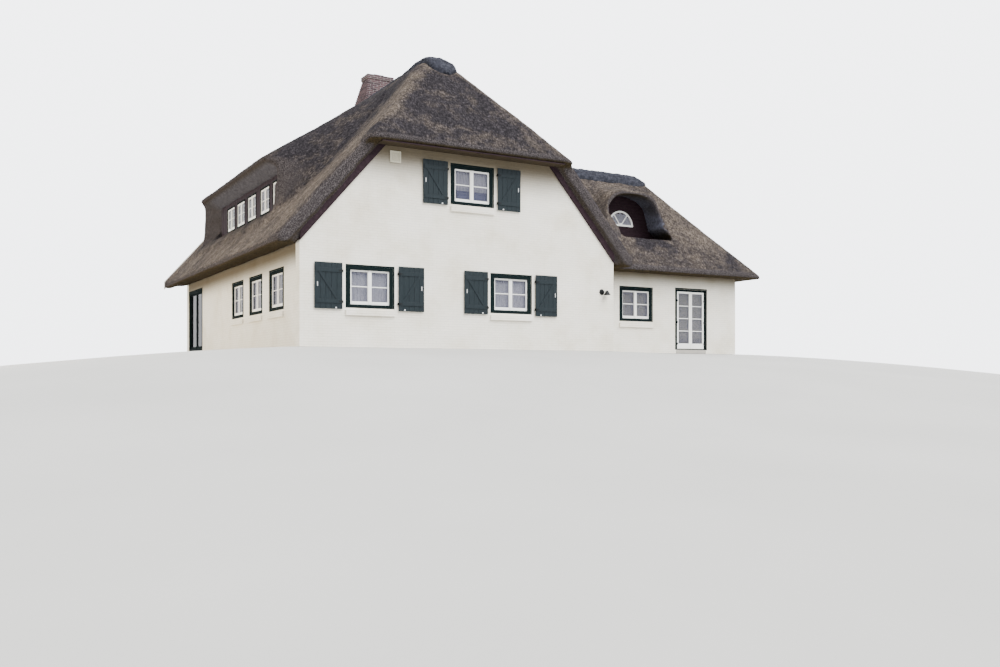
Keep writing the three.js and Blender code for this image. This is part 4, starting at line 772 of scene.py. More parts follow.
def chimney_core():
    """The flue and the mortar behind the bricks, from the ground slab to the head."""
    levels = [(z, z, 0.0) for z in (CHIMNEY["slab"], CHIMNEY["bricks_from"] - 0.1)]
    for z in chimney_courses():
        top = z + BRICK["height"]
        levels += [(z - BRICK["joint"] + LAP, top, MORTAR_SET_BACK), (top - LAP, top, MORTAR_SET_BACK)]
    corners = []
    for z, plan_z, back in levels:
        middle, a, b = chimney_plan(plan_z)
        corners += [(middle.x + sx * (a - back), middle.y + sy * (b - back), z)
                    for sx, sy in ((-1, -1), (1, -1), (1, 1), (-1, 1))]
    faces = [(3, 2, 1, 0), tuple(4 * (len(levels) - 1) + i for i in range(4))]
    for first in range(0, 4 * (len(levels) - 1), 4):
        faces += [(first + i, first + (i + 1) % 4, first + 4 + (i + 1) % 4, first + 4 + i) for i in range(4)]
    return mesh_object("chimney_mortar_core", corners, faces, mottled("lime_mortar", 0.95, 90.0, MORTAR, 4.0))


# The mortar is a pale sandy grey, and the lead has a dull bloom in patches of some 80 mm.
belongs(chimney_core(), "house", "chimney_brick", "chimney")
blocks("chimney_bricks", chimney_brickwork(), fired_clay(), 0.004, slot_name="chimney_brick")
flue = house(CHIMNEY_HEAD["x"], CHIMNEY_HEAD["y"], CHIMNEY["top"])
plate = [tuple(flue[i // 2] + out for i, out in enumerate(box)) for box in FLUE_PLATE]
blocks("flue_plate", plate, mottled("weathered_lead_sheet", 0.6, 12.0, LEAD, 4.0, Metallic=0.6), 0.004)


# Boards at the roof's edges. Planed softwood with a dark red-brown stain up both rakes of the
# front gable and under its half hip, and painted pale up the back verges. The paint is flat, and
# weathered in patches some 0.2 m wide.
STAIN = [(0.3, "#1B1115"), (0.6, "#2A1D23"), (0.8, "#403038")]
SOFFIT_BOARD = {"width": 0.12, "joint": 0.006, "colour": "#3B3328", "gap": "#1E1913", "facing_down": -0.9}
PALE_PAINT = [(0.3, "#B9B6AC"), (0.6, "#D6D3C9"), (0.8, "#E0DED6")]


def stained_softwood():
    """Dark and dull, with grain in streaks some 70 mm wide, and browner boards on the underside."""
    made, tree, shader, place = surface("stained_softwood", 0.7, Specular_IOR_Level=0.1)
    grain = node(tree, "TexNoise", {"Scale": 14.0, "Detail": 6.0, "Roughness": 0.7}, {"Vector": place})
    stain = node(tree, "ValToRGB", {"stops": STAIN}, {"Fac": grain})
    across = node(tree, "SeparateXYZ", {}, {"Vector": place}).outputs["X"]
    joints = node(tree, "Math", {"operation": "PINGPONG", 1: SOFFIT_BOARD["width"] / 2}, {0: across})
    line = node(tree, "MapRange", {"From Min": 0.0, "From Max": SOFFIT_BOARD["joint"]}, {"Value": joints})
    facing = node(tree, "NewGeometry").outputs["Normal"]
    up = node(tree, "SeparateXYZ", {}, {"Vector": facing}).outputs["Z"]
    below = node(tree, "Math", {"operation": "LESS_THAN", 1: SOFFIT_BOARD["facing_down"]}, {0: up})
    open_line = node(tree, "Math", {"operation": "SUBTRACT", 0: 1.0}, {1: line})
    dark = node(tree, "Math", {"operation": "MULTIPLY"}, {0: open_line, 1: below})
    soffit = node(tree, "MixRGB", {"Color2": colour(SOFFIT_BOARD["colour"])}, {"Fac": below, "Color1": stain})
    jointed = node(tree, "MixRGB", {"Color2": colour(SOFFIT_BOARD["gap"])}, {"Fac": dark, "Color1": soffit})
    coated(tree, shader, jointed, grain, 0.3, 0.002)
    return made


stained_boards = stained_softwood()
pale_board = mottled("pale_verge_paint", 0.7, 5.0, PALE_PAINT, 6.0, bump=(0.2, 0.001))
finish("front_barge_boards", stained_boards)
for side in ("left", "right"):
    finish("back_barge_board_" + side, pale_board)


# Windows. Dark painted frames built into the brickwork, whose paint runs on over its edge, each
# with two white painted sashes that a glazing bar divides, drawn glass, and a net curtain
# gathered on a rod behind.
WINDOW = {"width": 1.25, "bottom": 0.985, "height": 1.055, "border": 0.092, "play": 0.0005, "back": -0.12,
          "face": -0.03, "front": -0.002, "band": 0.04, "paint": (0.0002, 0.0008), "sash": (0.058, 0.014),
          "bead": (0.004, 0.012)}
SASH = {"stile": 0.048, "foot": 0.085, "bar": 0.022, "meeting": 0.105, "lap": 0.006, "glass": (0.018, 0.022),
        "rebate": 0.01}
TURNS = {"front": 180, "back": 0, "left": 90, "right": -90}
LOWER_LEFT, LOWER_RIGHT, UPPER = (1.845, 0.985), (6.0, 0.985), (4.785, 3.84)
LEFT_WINDOWS, RIGHT_WINDOW = (1.93, 3.89, 5.84), 9.8
WING_WINDOWS = (("wing_front", 11.28), ("wing_right", 3.8), ("wing_back", 12.5))
GARDEN_GLAZING = {"along": 11.54, "bottom": 0.12, "width": 2.08, "height": 2.12}
BLUE_PANEL = (-0.50, 0.36, -0.19, -0.186, 3.95, 4.6)
NET = {"from_frame": 0.03, "thick": 0.0012, "rod": 0.006, "rod_end": 0.02, "rows": 7}


def gloss_paint(name, dark, light, roughness, shine=0.5):
    """Oil paint brushed on planed wood: an even colour with soft brush lines some 10 mm wide."""
    return mottled(name, roughness, 3.0, [(0.3, dark), (0.7, light)], 5.0, bump=(0.15, 0.001),
                   stretch=(30, 30, 4), Specular_IOR_Level=shine)


def drawn_glass(name, tone, cover, shine=0.5):
    """Old window glass, which lets most light through and ripples a little every 250 mm or so."""
    made, tree, shader, place = surface(name, 0.04, IOR=1.5, Alpha=cover, Specular_IOR_Level=shine)
    shader.inputs["Base Color"].default_value = colour(tone)
    ripple = node(tree, "TexNoise", {"Scale": 4.0, "Detail": 1.0}, {"Vector": place})
    coated(tree, shader, None, ripple, 0.1, 0.003)
    return made


def net_cotton(name, dark, light):
    """Thin cotton net, whose threads are too fine to show and leave a soft tone, uneven in patches of
    some 70 mm."""
    return mottled(name, 0.9, 14.0, [(0.3, dark), (0.7, light)], 3.0, Sheen_Weight=0.2)


frame_paint = gloss_paint("dark_frame_gloss_paint", "#0C1314", "#162021", 0.8, 0.02)
white_paint = gloss_paint("white_joinery_gloss_paint", "#E6E6E1", "#F6F6F2", 0.4)
glass = drawn_glass("drawn_window_glass", "#4C4E62", 0.38)
painted_shade_glass = drawn_glass("garden_glass_painted_dark", "#0E1014", 0.9, 0.02)
net = net_cotton("bleached_cotton_net", "#D2D1D6", "#E6E5EA")
raw_net = net_cotton("unbleached_cotton_net", "#9E9A80", "#B9B59C")


def placed_at(place, turn=0):
    """A place on the house, turned about its upright line."""
    return Matrix.Translation(place) @ Matrix.Rotation(math.radians(turn), 4, "Z")


def wall_place(facing, along):
    left, near, right, far = WING_PLAN if facing.startswith("wing") else MAIN_PLAN
    side = facing.split("_")[-1]
    origins = {"front": (along, near), "back": (along, far), "left": (left, along), "right": (right, along)}
    return placed_at(house(*origins[side]), TURNS[side])


def ring_boxes(x0, x1, z0, z1, border, y0, y1, foot=None):
    """Two uprights with a head and a foot between them."""
    foot = border if foot is None else foot
    return [(x0, x0 + border, y0, y1, z0, z1), (x1 - border, x1, y0, y1, z0, z1),
            (x0 + border, x1 - border, y0, y1, z1 - border, z1), (x0 + border, x1 - border, y0, y1, z0, z0 + foot)]


def sash_boxes(x0, x1, z0, z1, y0, y1, rows, stile=SASH["stile"], foot=SASH["foot"], set_back=(0.008, 0.006)):
    """One sash with its glazing bars, a little thinner than the sash."""
    boxes = ring_boxes(x0, x1, z0, z1, stile, y0, y1, foot)
    low, high = z0 + foot, z1 - stile
    for z in (low + (high - low) * k / rows for k in range(1, rows)):
        level = (z - SASH["bar"] / 2, z + SASH["bar"] / 2)
        boxes.append((x0 + stile, x1 - stile, y0 + set_back[0], y1 - set_back[1], *level))
    return boxes


def painted_band(name, half, low, high, place, y=WINDOW["paint"], more=()):
    """Frame paint carried round an opening onto the brickwork."""
    outer, top = half + WINDOW["band"], high + WINDOW["band"]
    boxes = [(-outer, -half, *y, low, top), (half, outer, *y, low, top), (-half, half, *y, high, top), *more]
    blocks(name + "_painted_band", boxes, frame_paint, 0, place, slot_name="dark_frames")


def curtain(name, place, x0, x1, z0, z1, y, body="house", folds=0.085, sway=0.014, cloth=None):
    """A gathered net: the folds run down it and open a little towards the hem."""
    across = np.linspace(x0, x1, 8 * max(4, round((x1 - x0) / folds)) + 1)
    down = np.linspace(z1, z0, NET["rows"])
    wave = np.sin((across - x0) * 2 * math.pi / folds + 0.8 * np.sin(across * 9))
    corners = [(x, y + sway * w * (0.6 + 0.4 * (z1 - z) / (z1 - z0)), z) for z in down for x, w in zip(across, wave)]
    made = mesh_object(name, corners, grid_faces(len(down), len(across)), cloth or net, True, place)
    made.modifiers.new("cloth", "SOLIDIFY").thickness = NET["thick"]
    end, half = NET["rod_end"], NET["rod"]
    rod = blocks(name + "_rod", [(x0 - end, x1 + end, y - half, y + half, z1 - half, z1 + half)],
                 white_paint, 0.003, place, body)
    belongs(made, body)


def window(name, facing, along, bottom=WINDOW["bottom"], width=WINDOW["width"], height=WINDOW["height"],
           rows=2, drop=1.0, drawn=True, cloth=None, joinery=None, panes_of=None):
    place = wall_place(facing, along)
    half, border = width / 2 - WINDOW["play"], WINDOW["border"]
    low, high = bottom + WINDOW["play"], bottom + height - WINDOW["play"]
    blocks(name + "_frame", ring_boxes(-half, half, low, high, border, WINDOW["back"], WINDOW["front"]),
           frame_paint, 0.004, place, slot_name="dark_frames", nodes=[name])
    painted_band(name, half, low, high, place)
    inner, lap = half - border, SASH["lap"]
    edge, middle = inner + lap, SASH["meeting"] / 2 - SASH["stile"]
    z0, z1 = low + border - lap, high - border + lap
    y0, y1 = (WINDOW["face"] - out for out in WINDOW["sash"])
    halves = ((-edge, -middle), (middle, edge))
    boxes = [box for x0, x1 in halves for box in sash_boxes(x0, x1, z0, z1, y0, y1, rows)]
    boxes.append((-SASH["bar"], SASH["bar"], y1 - WINDOW["bead"][0], y1 + WINDOW["bead"][1], z0, z1))
    blocks(name + "_sashes", boxes, joinery or white_paint, 0.003, place,
           slot_name="dark_frames" if joinery else "white_joinery")
    near, far = (y0 + deep for deep in SASH["glass"])
    stile, foot = SASH["stile"] - SASH["rebate"], SASH["foot"] - SASH["rebate"]
    panes = [(x0 + stile, x1 - stile, near, far, z0 + foot, z1 - stile) for x0, x1 in halves]
    blocks(name + "_glass", panes, panes_of or glass, 0, place)
    if drawn:
        off = NET["from_frame"]
        top = high - border - off
        curtain(name + "_net_curtain", place, -inner + off, inner - off, top - drop * (top - low - border), top,
                WINDOW["back"] - off, cloth=cloth)


window("gable_window_1", "front", LOWER_LEFT[0])
window("gable_window_2", "front", LOWER_RIGHT[0])
window("gable_window_3", "front", *UPPER, drop=0.62)
# A blue cloth panel stands just behind the upper window's glass and gives its panes their blue cast.
blue_panel_cloth = net_cotton("blue_cloth_behind_glass", "#3A3E63", "#484C74")
blocks("upper_window_blue_panel", [BLUE_PANEL], blue_panel_cloth, 0, wall_place("front", UPPER[0]))
for index, along in enumerate(LEFT_WINDOWS):
    window(f"left_window_{index + 1}", "left", along)
window("right_window_1", "right", RIGHT_WINDOW)
for index, (facing, along) in enumerate(WING_WINDOWS):
    window(f"wing_window_{index + 1}", facing, along, cloth=raw_net)
for index, (along, bottom) in enumerate((LOWER_LEFT, LOWER_RIGHT, UPPER)):
    window(f"back_window_{index + 1}", "back", along, bottom)
# The garden glazing lies in deep shade, with dark sashes. Its glass is a nearly opaque dark
# sheet with nothing to be seen behind it: painted shade.
window("left_garden_glazing", "left", **GARDEN_GLAZING, rows=1, drawn=False, joinery=frame_paint, panes_of=painted_shade_glass)


# Long dormer. Stained boards nailed upright under the hood, with five fixed windows between them,
# each a dark casing round two narrow white sashes.
DORMER = {"face": 0.8, "near": 3.88, "far": 11.05, "sill": 4.0805, "lined_from": 0.012, "back": 0.9, "top": 5.16,
          "lined_to": 5.13}
DORMER_WINDOWS = (4.40, 5.69, 7.14, 8.44, 9.70)
CASING = {"width": 0.98, "bottom": 4.12, "height": 0.83, "border": 0.05, "back": -0.09, "front": 0.03, "lap": 0.004}
DORMER_BOARD = {"width": 0.135, "gap": 0.002, "proud": 0.018, "step": 0.003, "narrowest": 0.01}
DORMER_SASH = {"gap": 0.014, "back": -0.03, "front": 0.016, "stile": 0.05, "bead": (0.02, 0.026),
               "glass": (-0.010, -0.006), "pane_in": (0.04, 0.06, 0.03), "net_in": (0.02, 0.03)}


def dormer_boards():
    count = round((DORMER["far"] - DORMER["near"]) / DORMER_BOARD["width"])
    step = (DORMER["far"] - DORMER["near"]) / count
    half, gap = CASING["width"] / 2, DORMER_BOARD["gap"]
    low, high = CASING["bottom"], CASING["bottom"] + CASING["height"]
    lined, whole = DORMER["face"] + DORMER["lined_from"], (DORMER["sill"], DORMER["top"])
    boards = []
    for k in range(count):
        y0, y1 = DORMER["near"] + k * step + gap, DORMER["near"] + (k + 1) * step - gap
        depth = (DORMER["face"] - (DORMER_BOARD["proud"] + DORMER_BOARD["step"] * (k % 2)), lined)
        spans = [whole]
        for w in [w for w in DORMER_WINDOWS if w - half < y1 and w + half > y0][:1]:
            if y0 < w - half - DORMER_BOARD["narrowest"]:
                boards.append((-(w - half), -y0, *depth, *whole))
            if y1 > w + half + DORMER_BOARD["narrowest"]:
                boards.append((-y1, -(w + half), *depth, *whole))
            y0, y1 = max(y0, w - half), min(y1, w + half)
            spans = [(DORMER["sill"], low), (high, DORMER["top"])]
        boards += [(-y1, -y0, *depth, *span) for span in spans]
    edges = [DORMER["near"]] + [e for w in DORMER_WINDOWS for e in (w - half, w + half)] + [DORMER["far"]]
    lining = [(-far, -near, lined, DORMER["back"], DORMER["sill"], DORMER["lined_to"])
              for near, far in zip(edges[::2], edges[1::2])]
    lining.append((-DORMER["far"], -DORMER["near"], lined, DORMER["back"], high, DORMER["lined_to"]))
    return boards, lining


boards, lining = dormer_boards()
upright_boards = placed_at(house(0, 0), -90)
blocks("dormer_boards", boards, stained_boards, 0.003, upright_boards, slot_name="dark_red_boards",
       nodes=["dormer_front"])
blocks("dormer_board_lining", lining, stained_boards, 0, upright_boards, slot_name="dark_red_boards")
half, casing, lap = CASING["width"] / 2, CASING["border"], CASING["lap"]
low, high = CASING["bottom"], CASING["bottom"] + CASING["height"]
inner, gap = half - casing + lap, DORMER_SASH["gap"]
halves = [(-inner, -gap), (gap, inner)]
z0, z1 = low + casing, high - casing
sashes = [box for x0, x1 in halves for box in sash_boxes(
    x0, x1, z0 - lap, z1 + lap, DORMER_SASH["back"], DORMER_SASH["front"], 2, DORMER_SASH["stile"])]
bead, proud = DORMER_SASH["bead"]
sashes.append((-bead, bead, 0.0, proud, z0, z1))
side, foot, head = DORMER_SASH["pane_in"]
panes = [(x0 + side, x1 - side, *DORMER_SASH["glass"], z0 + foot, z1 - head) for x0, x1 in halves]
in_from, up = DORMER_SASH["net_in"]
for index, along in enumerate(DORMER_WINDOWS):
    name = f"dormer_window_{index + 1}"
    place = placed_at(house(DORMER["face"], along), 90)
    blocks(name + "_casing", ring_boxes(-half, half, low, high, casing, CASING["back"], CASING["front"]),
           frame_paint, 0.003, place, slot_name="dark_frames")
    blocks(name + "_sashes", sashes, white_paint, 0.003, place, slot_name="white_joinery")
    blocks(name + "_glass", panes, glass, 0, place)
    curtain(name + "_net_curtain", place, -inner + in_from, inner - in_from, low + up, z1 - in_from, WINDOW["back"])


# Arched niche. Stained boards laid level behind the lifted thatch, with a white half-round window
# let into them, whose two bars spread from its foot, and a pale sheet close behind its glass that
# stands in for the bright sky the glass reflects: a painted reflection.
NICHE = {"x": 11.63, "wall": 2.5, "depth": 0.08, "floor": 3.79, "half": 1.08, "height": 0.92, "spring": 4.25,
         "fullness": 2.5}
NICHE_FOOT = {"height": (3.79, 3.95, 4.09, 4.31), "left": (10.98, 10.89, 10.81, 10.60),
              "right": (13.18, 13.02, 12.79, 12.71)}
NICHE_BOARD = {"width": 0.10, "gap": 0.004, "step": 0.004, "into_reed": 0.03, "under_frame": 0.01, "narrowest": 0.02}
FAN = {"x": 11.65, "radius": 0.5, "foot": 4.19, "border": 0.055, "bar": 0.028, "bars": (54, 126), "bar_from": 0.05,
       "bar_into": 0.02, "bar_depth": (-0.008, 0.03), "depth": (-0.02, 0.04), "hub": (0.09, 0.04),
       "hub_depth": (-0.022, 0.03), "pane": 0.03, "glass": (0.010, 0.014), "reflection_sheet_behind": 0.012, "sides": 28}
BLOCK_FACES = ((0, 1, 3, 2), (4, 6, 7, 5), (0, 4, 5, 1), (1, 5, 7, 3), (3, 7, 6, 2), (2, 6, 4, 0))


def niche_boards():
    """Level boards, cut to the arch and round the half-round window, that run a little into the reed."""
    boxes, board = [], NICHE_BOARD["width"]
    rows = math.ceil((NICHE["spring"] + NICHE["height"] - NICHE["floor"]) / board)
    for k in range(rows):
        z0, z1 = NICHE["floor"] + k * board, NICHE["floor"] + (k + 1) * board - NICHE_BOARD["gap"]
        up = ((z0 + z1) / 2 - NICHE["spring"]) / NICHE["height"]
        if up >= 1:
            break
        if up > 0:
            reach = NICHE["half"] * (1 - up ** NICHE["fullness"]) ** (1 / NICHE["fullness"])
            left, right = NICHE["x"] - reach, NICHE["x"] + reach
        else:
            left, right = (float(np.interp((z0 + z1) / 2, NICHE_FOOT["height"], NICHE_FOOT[edge]))
                           for edge in ("left", "right"))
        left, right = left - NICHE_BOARD["into_reed"] - FAN["x"], right + NICHE_BOARD["into_reed"] - FAN["x"]
        over = [math.sqrt(max(FAN["radius"] ** 2 - (z - FAN["foot"]) ** 2, 0)) for z in (z0, z1) if z >= FAN["foot"]]
        gap, lap = min(over, default=0) if z1 > FAN["foot"] else 0, NICHE_BOARD["under_frame"]
        narrowest, y = NICHE_BOARD["narrowest"], NICHE["wall"] - NICHE_BOARD["step"] * (k % 2)
        spans = [(left, right)] if gap < narrowest else [(left, -gap + lap), (gap - lap, right)]
        boxes += [(a, b, y, NICHE["wall"] + NICHE["depth"], z0, z1) for a, b in spans if b - a > narrowest]
    return boxes


def half_round(radius, inset, y0, y1):
    """A half-round ring with a level foot, from its outer radius in to an inner one."""
    count, small = FAN["sides"], radius - inset
    angles = np.linspace(0, math.pi, count)
    outer = [(radius * math.cos(a), FAN["foot"] + radius * math.sin(a)) for a in angles]
    inner = [(small * math.cos(a), max(FAN["foot"] + small * math.sin(a), FAN["foot"] + inset)) for a in angles]
    corners = [(x, y, z) for y in (y0, y1) for ring in (outer, inner) for x, z in ring]
    faces = []
    for k in range(count):
        outer_k, inner_k, outer_back, inner_back = range(k, 4 * count, count)
        outer_n, inner_n, outer_back_n, inner_back_n = range((k + 1) % count, 4 * count, count)
        faces += [(outer_k, outer_n, inner_n, inner_k), (outer_back, inner_back, inner_back_n, outer_back_n),
                  (outer_k, outer_back, outer_back_n, outer_n), (inner_k, inner_n, inner_back_n, inner_back)]
    return corners, faces


def fan_frame():
    depth, bar_depth, hub_depth = (
        [NICHE["wall"] + y for y in FAN[part]] for part in ("depth", "bar_depth", "hub_depth"))
    corners, faces = half_round(FAN["radius"], FAN["border"], *depth)
    for angle in FAN["bars"]:
        c, s, half, first = math.cos(math.radians(angle)), math.sin(math.radians(angle)), FAN["bar"] / 2, len(corners)
        for y in bar_depth:
            for out in (FAN["bar_from"], FAN["radius"] - FAN["bar_into"]):
                corners += [(out * c - side * s * half, y, FAN["foot"] + out * s + side * c * half) for side in (-1, 1)]
        faces += [tuple(first + i for i in f) for f in BLOCK_FACES]
    hub_corners, hub_faces = half_round(*FAN["hub"], *hub_depth)
    faces += [tuple(len(corners) + i for i in f) for f in hub_faces]
    return corners + hub_corners, faces


niche_place = placed_at(house(FAN["x"], 0))
blocks("niche_boards", niche_boards(), stained_boards, 0.004, niche_place, slot_name="dark_red_boards",
       nodes=["eyebrow_front"])
frame_mesh = mesh_object("fan_light_frame", *fan_frame(), white_paint, place=niche_place)
belongs(frame_mesh, "house", "white_joinery", "fan_window")
count = FAN["sides"] + 1
pane = [(FAN["radius"] - FAN["pane"]) * np.array((math.cos(a), math.sin(a))) for a in np.linspace(0, math.pi, count)]
faces = [tuple(range(count)), tuple(range(2 * count - 1, count - 1, -1))]
faces += [(k, count + k, count + (k + 1) % count, (k + 1) % count) for k in range(count)]
# The pale sheet close behind the fan light's glass is a painted reflection of the bright sky.
for name, behind, item in (("fan_light_glass", 0.0, glass), ("fan_light_painted_sky_reflection", FAN["reflection_sheet_behind"], net)):
    corners = [(x, NICHE["wall"] + y + behind, FAN["foot"] + FAN["pane"] + z) for y in FAN["glass"] for x, z in pane]
    belongs(mesh_object(name, corners, faces, item, place=niche_place), "house")


# Shutters. Upright boards held by two ledges and a brace on their inner face, painted dark blue
# green with brush lines of some 12 mm down them. Each turns on two hammered iron eyes round
# pintles in the wall, and a hook of bright steel holds it shut.
SHUTTER = {"width": 0.725, "height": 1.15, "gap": 0.015, "back": -0.03, "board": 0.020, "ledge": 0.014,
           "from_reveal": 0.005, "below_sill": 0.045, "boards": 5, "joint": 0.0015, "ledge_in": 0.03,
           "ledge_half": 0.05, "let_in": 0.001}
BRACE = {"from_end": 0.13, "half": 0.035}
PINTLE = {"y": -0.035, "inset": 0.17, "height": 0.04, "eye": 0.013, "pin": 0.0065, "below": 0.0145, "above": 0.0105,
          "arm": 0.0085, "arm_into_wall": 0.004, "play": 0.0004}
STRAP = {"length": 0.115, "half": 0.018, "thick": 0.004, "knuckle": 0.02, "from": -0.068, "before": 0.003}
HOOK = {"x": 0.075, "half": 0.012, "z": (0.55, 0.66), "thick": 0.012}
CATCH = {"x": 0.17, "half": 0.02, "z": (0.012, 0.05), "thick": 0.010}
SHUTTER_PAINT = [(0.3, "#141B1F"), (0.7, "#1F282C")]
IRON = [(0.3, "#151617"), (0.7, "#26282A")]
ZINC = [(0.2, "#C9CCCE"), (0.8, "#E6E8E9")]


def galvanised_steel():
    """Bright zinc, whose spangles are some 8 mm wide."""
    made, tree, shader, place = surface("galvanised_steel_hook", 0.35, Metallic=0.7)
    spangle = node(tree, "TexVoronoi", {"Scale": 120.0}, {"Vector": place})
    coated(tree, shader, node(tree, "ValToRGB", {"stops": ZINC}, {"Fac": spangle.outputs["Distance"]}))
    return made


def sideways(side, near, far):
    """The left and right ends of a piece that lies so far out on one side."""
    return sorted((side * near, side * far))


def shutter_boards(side, levels):
    height, back, first, last = SHUTTER["height"], SHUTTER["back"], SHUTTER["gap"], SHUTTER["gap"] + SHUTTER["width"]
    step, joint, face = SHUTTER["width"] / SHUTTER["boards"], SHUTTER["joint"], SHUTTER["back"] - SHUTTER["board"]
    boxes = [(*sideways(side, first + k * step + joint, first + (k + 1) * step - joint), face, back, 0, height)
             for k in range(SHUTTER["boards"])]
    ends = sideways(side, first + SHUTTER["ledge_in"], last - SHUTTER["ledge_in"])
    half = SHUTTER["ledge_half"]
    return boxes + [(*ends, face - SHUTTER["ledge"], face + SHUTTER["let_in"], z - half, z + half) for z in levels]


def brace(side, z0, z1):
    """The brace rises from the hinge at the lower ledge to the free edge at the upper one."""
    near, far = SHUTTER["gap"] + BRACE["from_end"], SHUTTER["gap"] + SHUTTER["width"] - BRACE["from_end"]
    face, wide = SHUTTER["back"] - SHUTTER["board"], BRACE["half"]
    outline = [(near - wide, z0), (near + wide, z0), (far + wide, z1), (far - wide, z1)]
    corners = [(side * x, y, z) for y in (face - SHUTTER["ledge"], face + SHUTTER["let_in"]) for x, z in outline]
    faces = [(0, 1, 2, 3), (7, 6, 5, 4)] + [(k, k + 4, (k + 1) % 4 + 4, (k + 1) % 4) for k in range(4)]
    return corners, [f[::-1] for f in faces] if side < 0 else faces


painted_shutter = mottled("shutter_gloss_paint", 0.5, 2.0, SHUTTER_PAINT, 6.0, bump=(0.35, 0.0015), stretch=(40, 40, 3),
                          Specular_IOR_Level=0.15)
iron = mottled("blackened_wrought_iron", 0.55, 70.0, IRON, 3.0, bump=(0.4, 0.001), Metallic=0.8)
steel = galvanised_steel()
inset, eye, reach = PINTLE["inset"], PINTLE["height"], SHUTTER["width"] + SHUTTER["gap"] + SHUTTER["from_reveal"]
levels = [inset + eye / 2, SHUTTER["height"] - inset - eye / 2]
face, half = SHUTTER["back"] - SHUTTER["board"], STRAP["half"]
on_ledge = face - SHUTTER["ledge"]
strap = (on_ledge - STRAP["thick"], on_ledge + SHUTTER["let_in"])
knuckle = (STRAP["from"], PINTLE["y"] + STRAP["before"])
pins, arms = [], []
for window_name, (middle, bottom) in (("lower_left", LOWER_LEFT), ("lower_right", LOWER_RIGHT), ("upper", UPPER)):
    for side_name, side in (("left", -1), ("right", 1)):
        body = f"shutter_{window_name}_window_{side_name}"
        foot = house(middle + side * reach, 0, bottom - SHUTTER["below_sill"])
        place = placed_at(foot)
        blocks(body + "_boards", shutter_boards(side, levels), painted_shutter, 0.004, place,
               body, "shutter_paint", [body])
        corners, faces = brace(side, levels[0] + SHUTTER["ledge_half"], levels[1] - SHUTTER["ledge_half"])
        belongs(mesh_object(body + "_brace", corners, faces, painted_shutter, place=place), body, "shutter_paint")
        long, wide = sideways(side, 0.0, STRAP["length"]), sideways(side, 0.0, STRAP["knuckle"])
        straps = [(*ends, *depth, z - half, z + half) for z in levels
                  for ends, depth in ((long, strap), (wide, knuckle))]
        posts = [(0, PINTLE["y"], z - eye / 2, z + eye / 2, PINTLE["eye"]) for z in levels]
        blocks(body + "_strap_hinges", straps, iron, 0, place, body, "black_iron", posts=posts)
        hooks = [(x - part["half"], x + part["half"], face - part["thick"], face, *part["z"])
                 for x, part in ((side * (SHUTTER["gap"] + SHUTTER["width"] - HOOK["x"]), HOOK),
                                 (side * (SHUTTER["gap"] + CATCH["x"]), CATCH))]
        blocks(body + "_hook", hooks, steel, 0.004, place, body)
        for z in (inset, SHUTTER["height"] - inset - eye):
            x, y, z = foot.x, foot.y, foot.z + z
            low, arm = z - PINTLE["below"], PINTLE["arm"]
            pins.append((x, y + PINTLE["y"], low, z + eye + PINTLE["above"], PINTLE["pin"]))
            arms.append((x - arm, x + arm, y + PINTLE["y"] - arm, y + PINTLE["arm_into_wall"], low, z - PINTLE["play"]))
blocks("shutter_pintles", arms, iron, 0, slot_name="black_iron", posts=pins)


# Garden door. A dark frame with a stone step, and two glazed white leaves of four panes each, which
# open outward on iron pintles; a net is gathered on rods behind the glass of each leaf.
DOOR = {"x": 13.54, "wall": 1.2, "width": 1.28, "top": 2.085, "border": 0.07, "face": 1.23, "deep": 0.09,
        "play": 0.0003, "frame_play": 0.0005, "frame_from": 0.11, "foot": 0.15, "step": 0.12, "step_back": 1.5}
DOOR_PAINT = {"on_wall": (1.1992, 1.1998), "in_reveal": (1.2, 1.2298), "thick": 0.0006, "edge": 0.001}
DOOR_HINGE = {"levels": (0.3, 1.0, 1.7), "axis": 0.014, "strap": 0.008, "lap": 0.02, "into": 0.002, "pin": 0.006,
              "below": 0.014, "above": 0.01, "play": 0.0003}
LEAF = {"deep": 0.045, "clear": 0.006, "stile": 0.06, "foot": 0.17, "rows": 4, "glass": (0.020, 0.024), "rebate": 0.01,
        "net": 0.016, "folds": 0.06, "sway": 0.007}

half, border, top = DOOR["width"] / 2 - DOOR["play"], DOOR["border"], DOOR["top"]
door_place = placed_at(house(DOOR["x"], 0))
low, high, deep = DOOR["frame_from"], top - DOOR["frame_play"], (DOOR["face"], DOOR["face"] + DOOR["deep"])
blocks("garden_door_frame_boards", [
    (-half, -half + border, *deep, low, high), (half - border, half, *deep, low, high),
    (-half + border, half - border, *deep, top - border, high),
    (-half + border, half - border, *deep, low, DOOR["foot"])],
    frame_paint, 0.003, door_place, slot_name="dark_frames", nodes=["garden_door_frame"])
step = (-half, half, DOOR["wall"], DOOR["step_back"], 0.0, DOOR["step"])
blocks("garden_door_step", [step], screed, 0.006, door_place, slot_name="floor_screed")
thick, edge = DOOR_PAINT["thick"], DOOR_PAINT["edge"]
reveal = (*DOOR_PAINT["in_reveal"], DOOR["step"] + edge, top - edge)
painted_band("garden_door", half, DOOR["step"], top, door_place, DOOR_PAINT["on_wall"],
             [(-half, -half + thick, *reveal), (half - thick, half, *reveal)])
pins, arms = [], []
leaf_width = (2 * half - 2 * border - 3 * LEAF["clear"]) / 2
z0, z1 = DOOR["foot"] + LEAF["clear"], top - border - LEAF["clear"]
y0, y1 = DOOR["face"], DOOR["face"] + LEAF["deep"]
low, high = z0 + LEAF["foot"], z1 - LEAF["stile"]
near, far = (y0 + deep for deep in LEAF["glass"])
inset, rebate = LEAF["stile"] - LEAF["rebate"], LEAF["rebate"]
axis, into = DOOR["face"] - DOOR_HINGE["axis"], DOOR["face"] + DOOR_HINGE["into"]
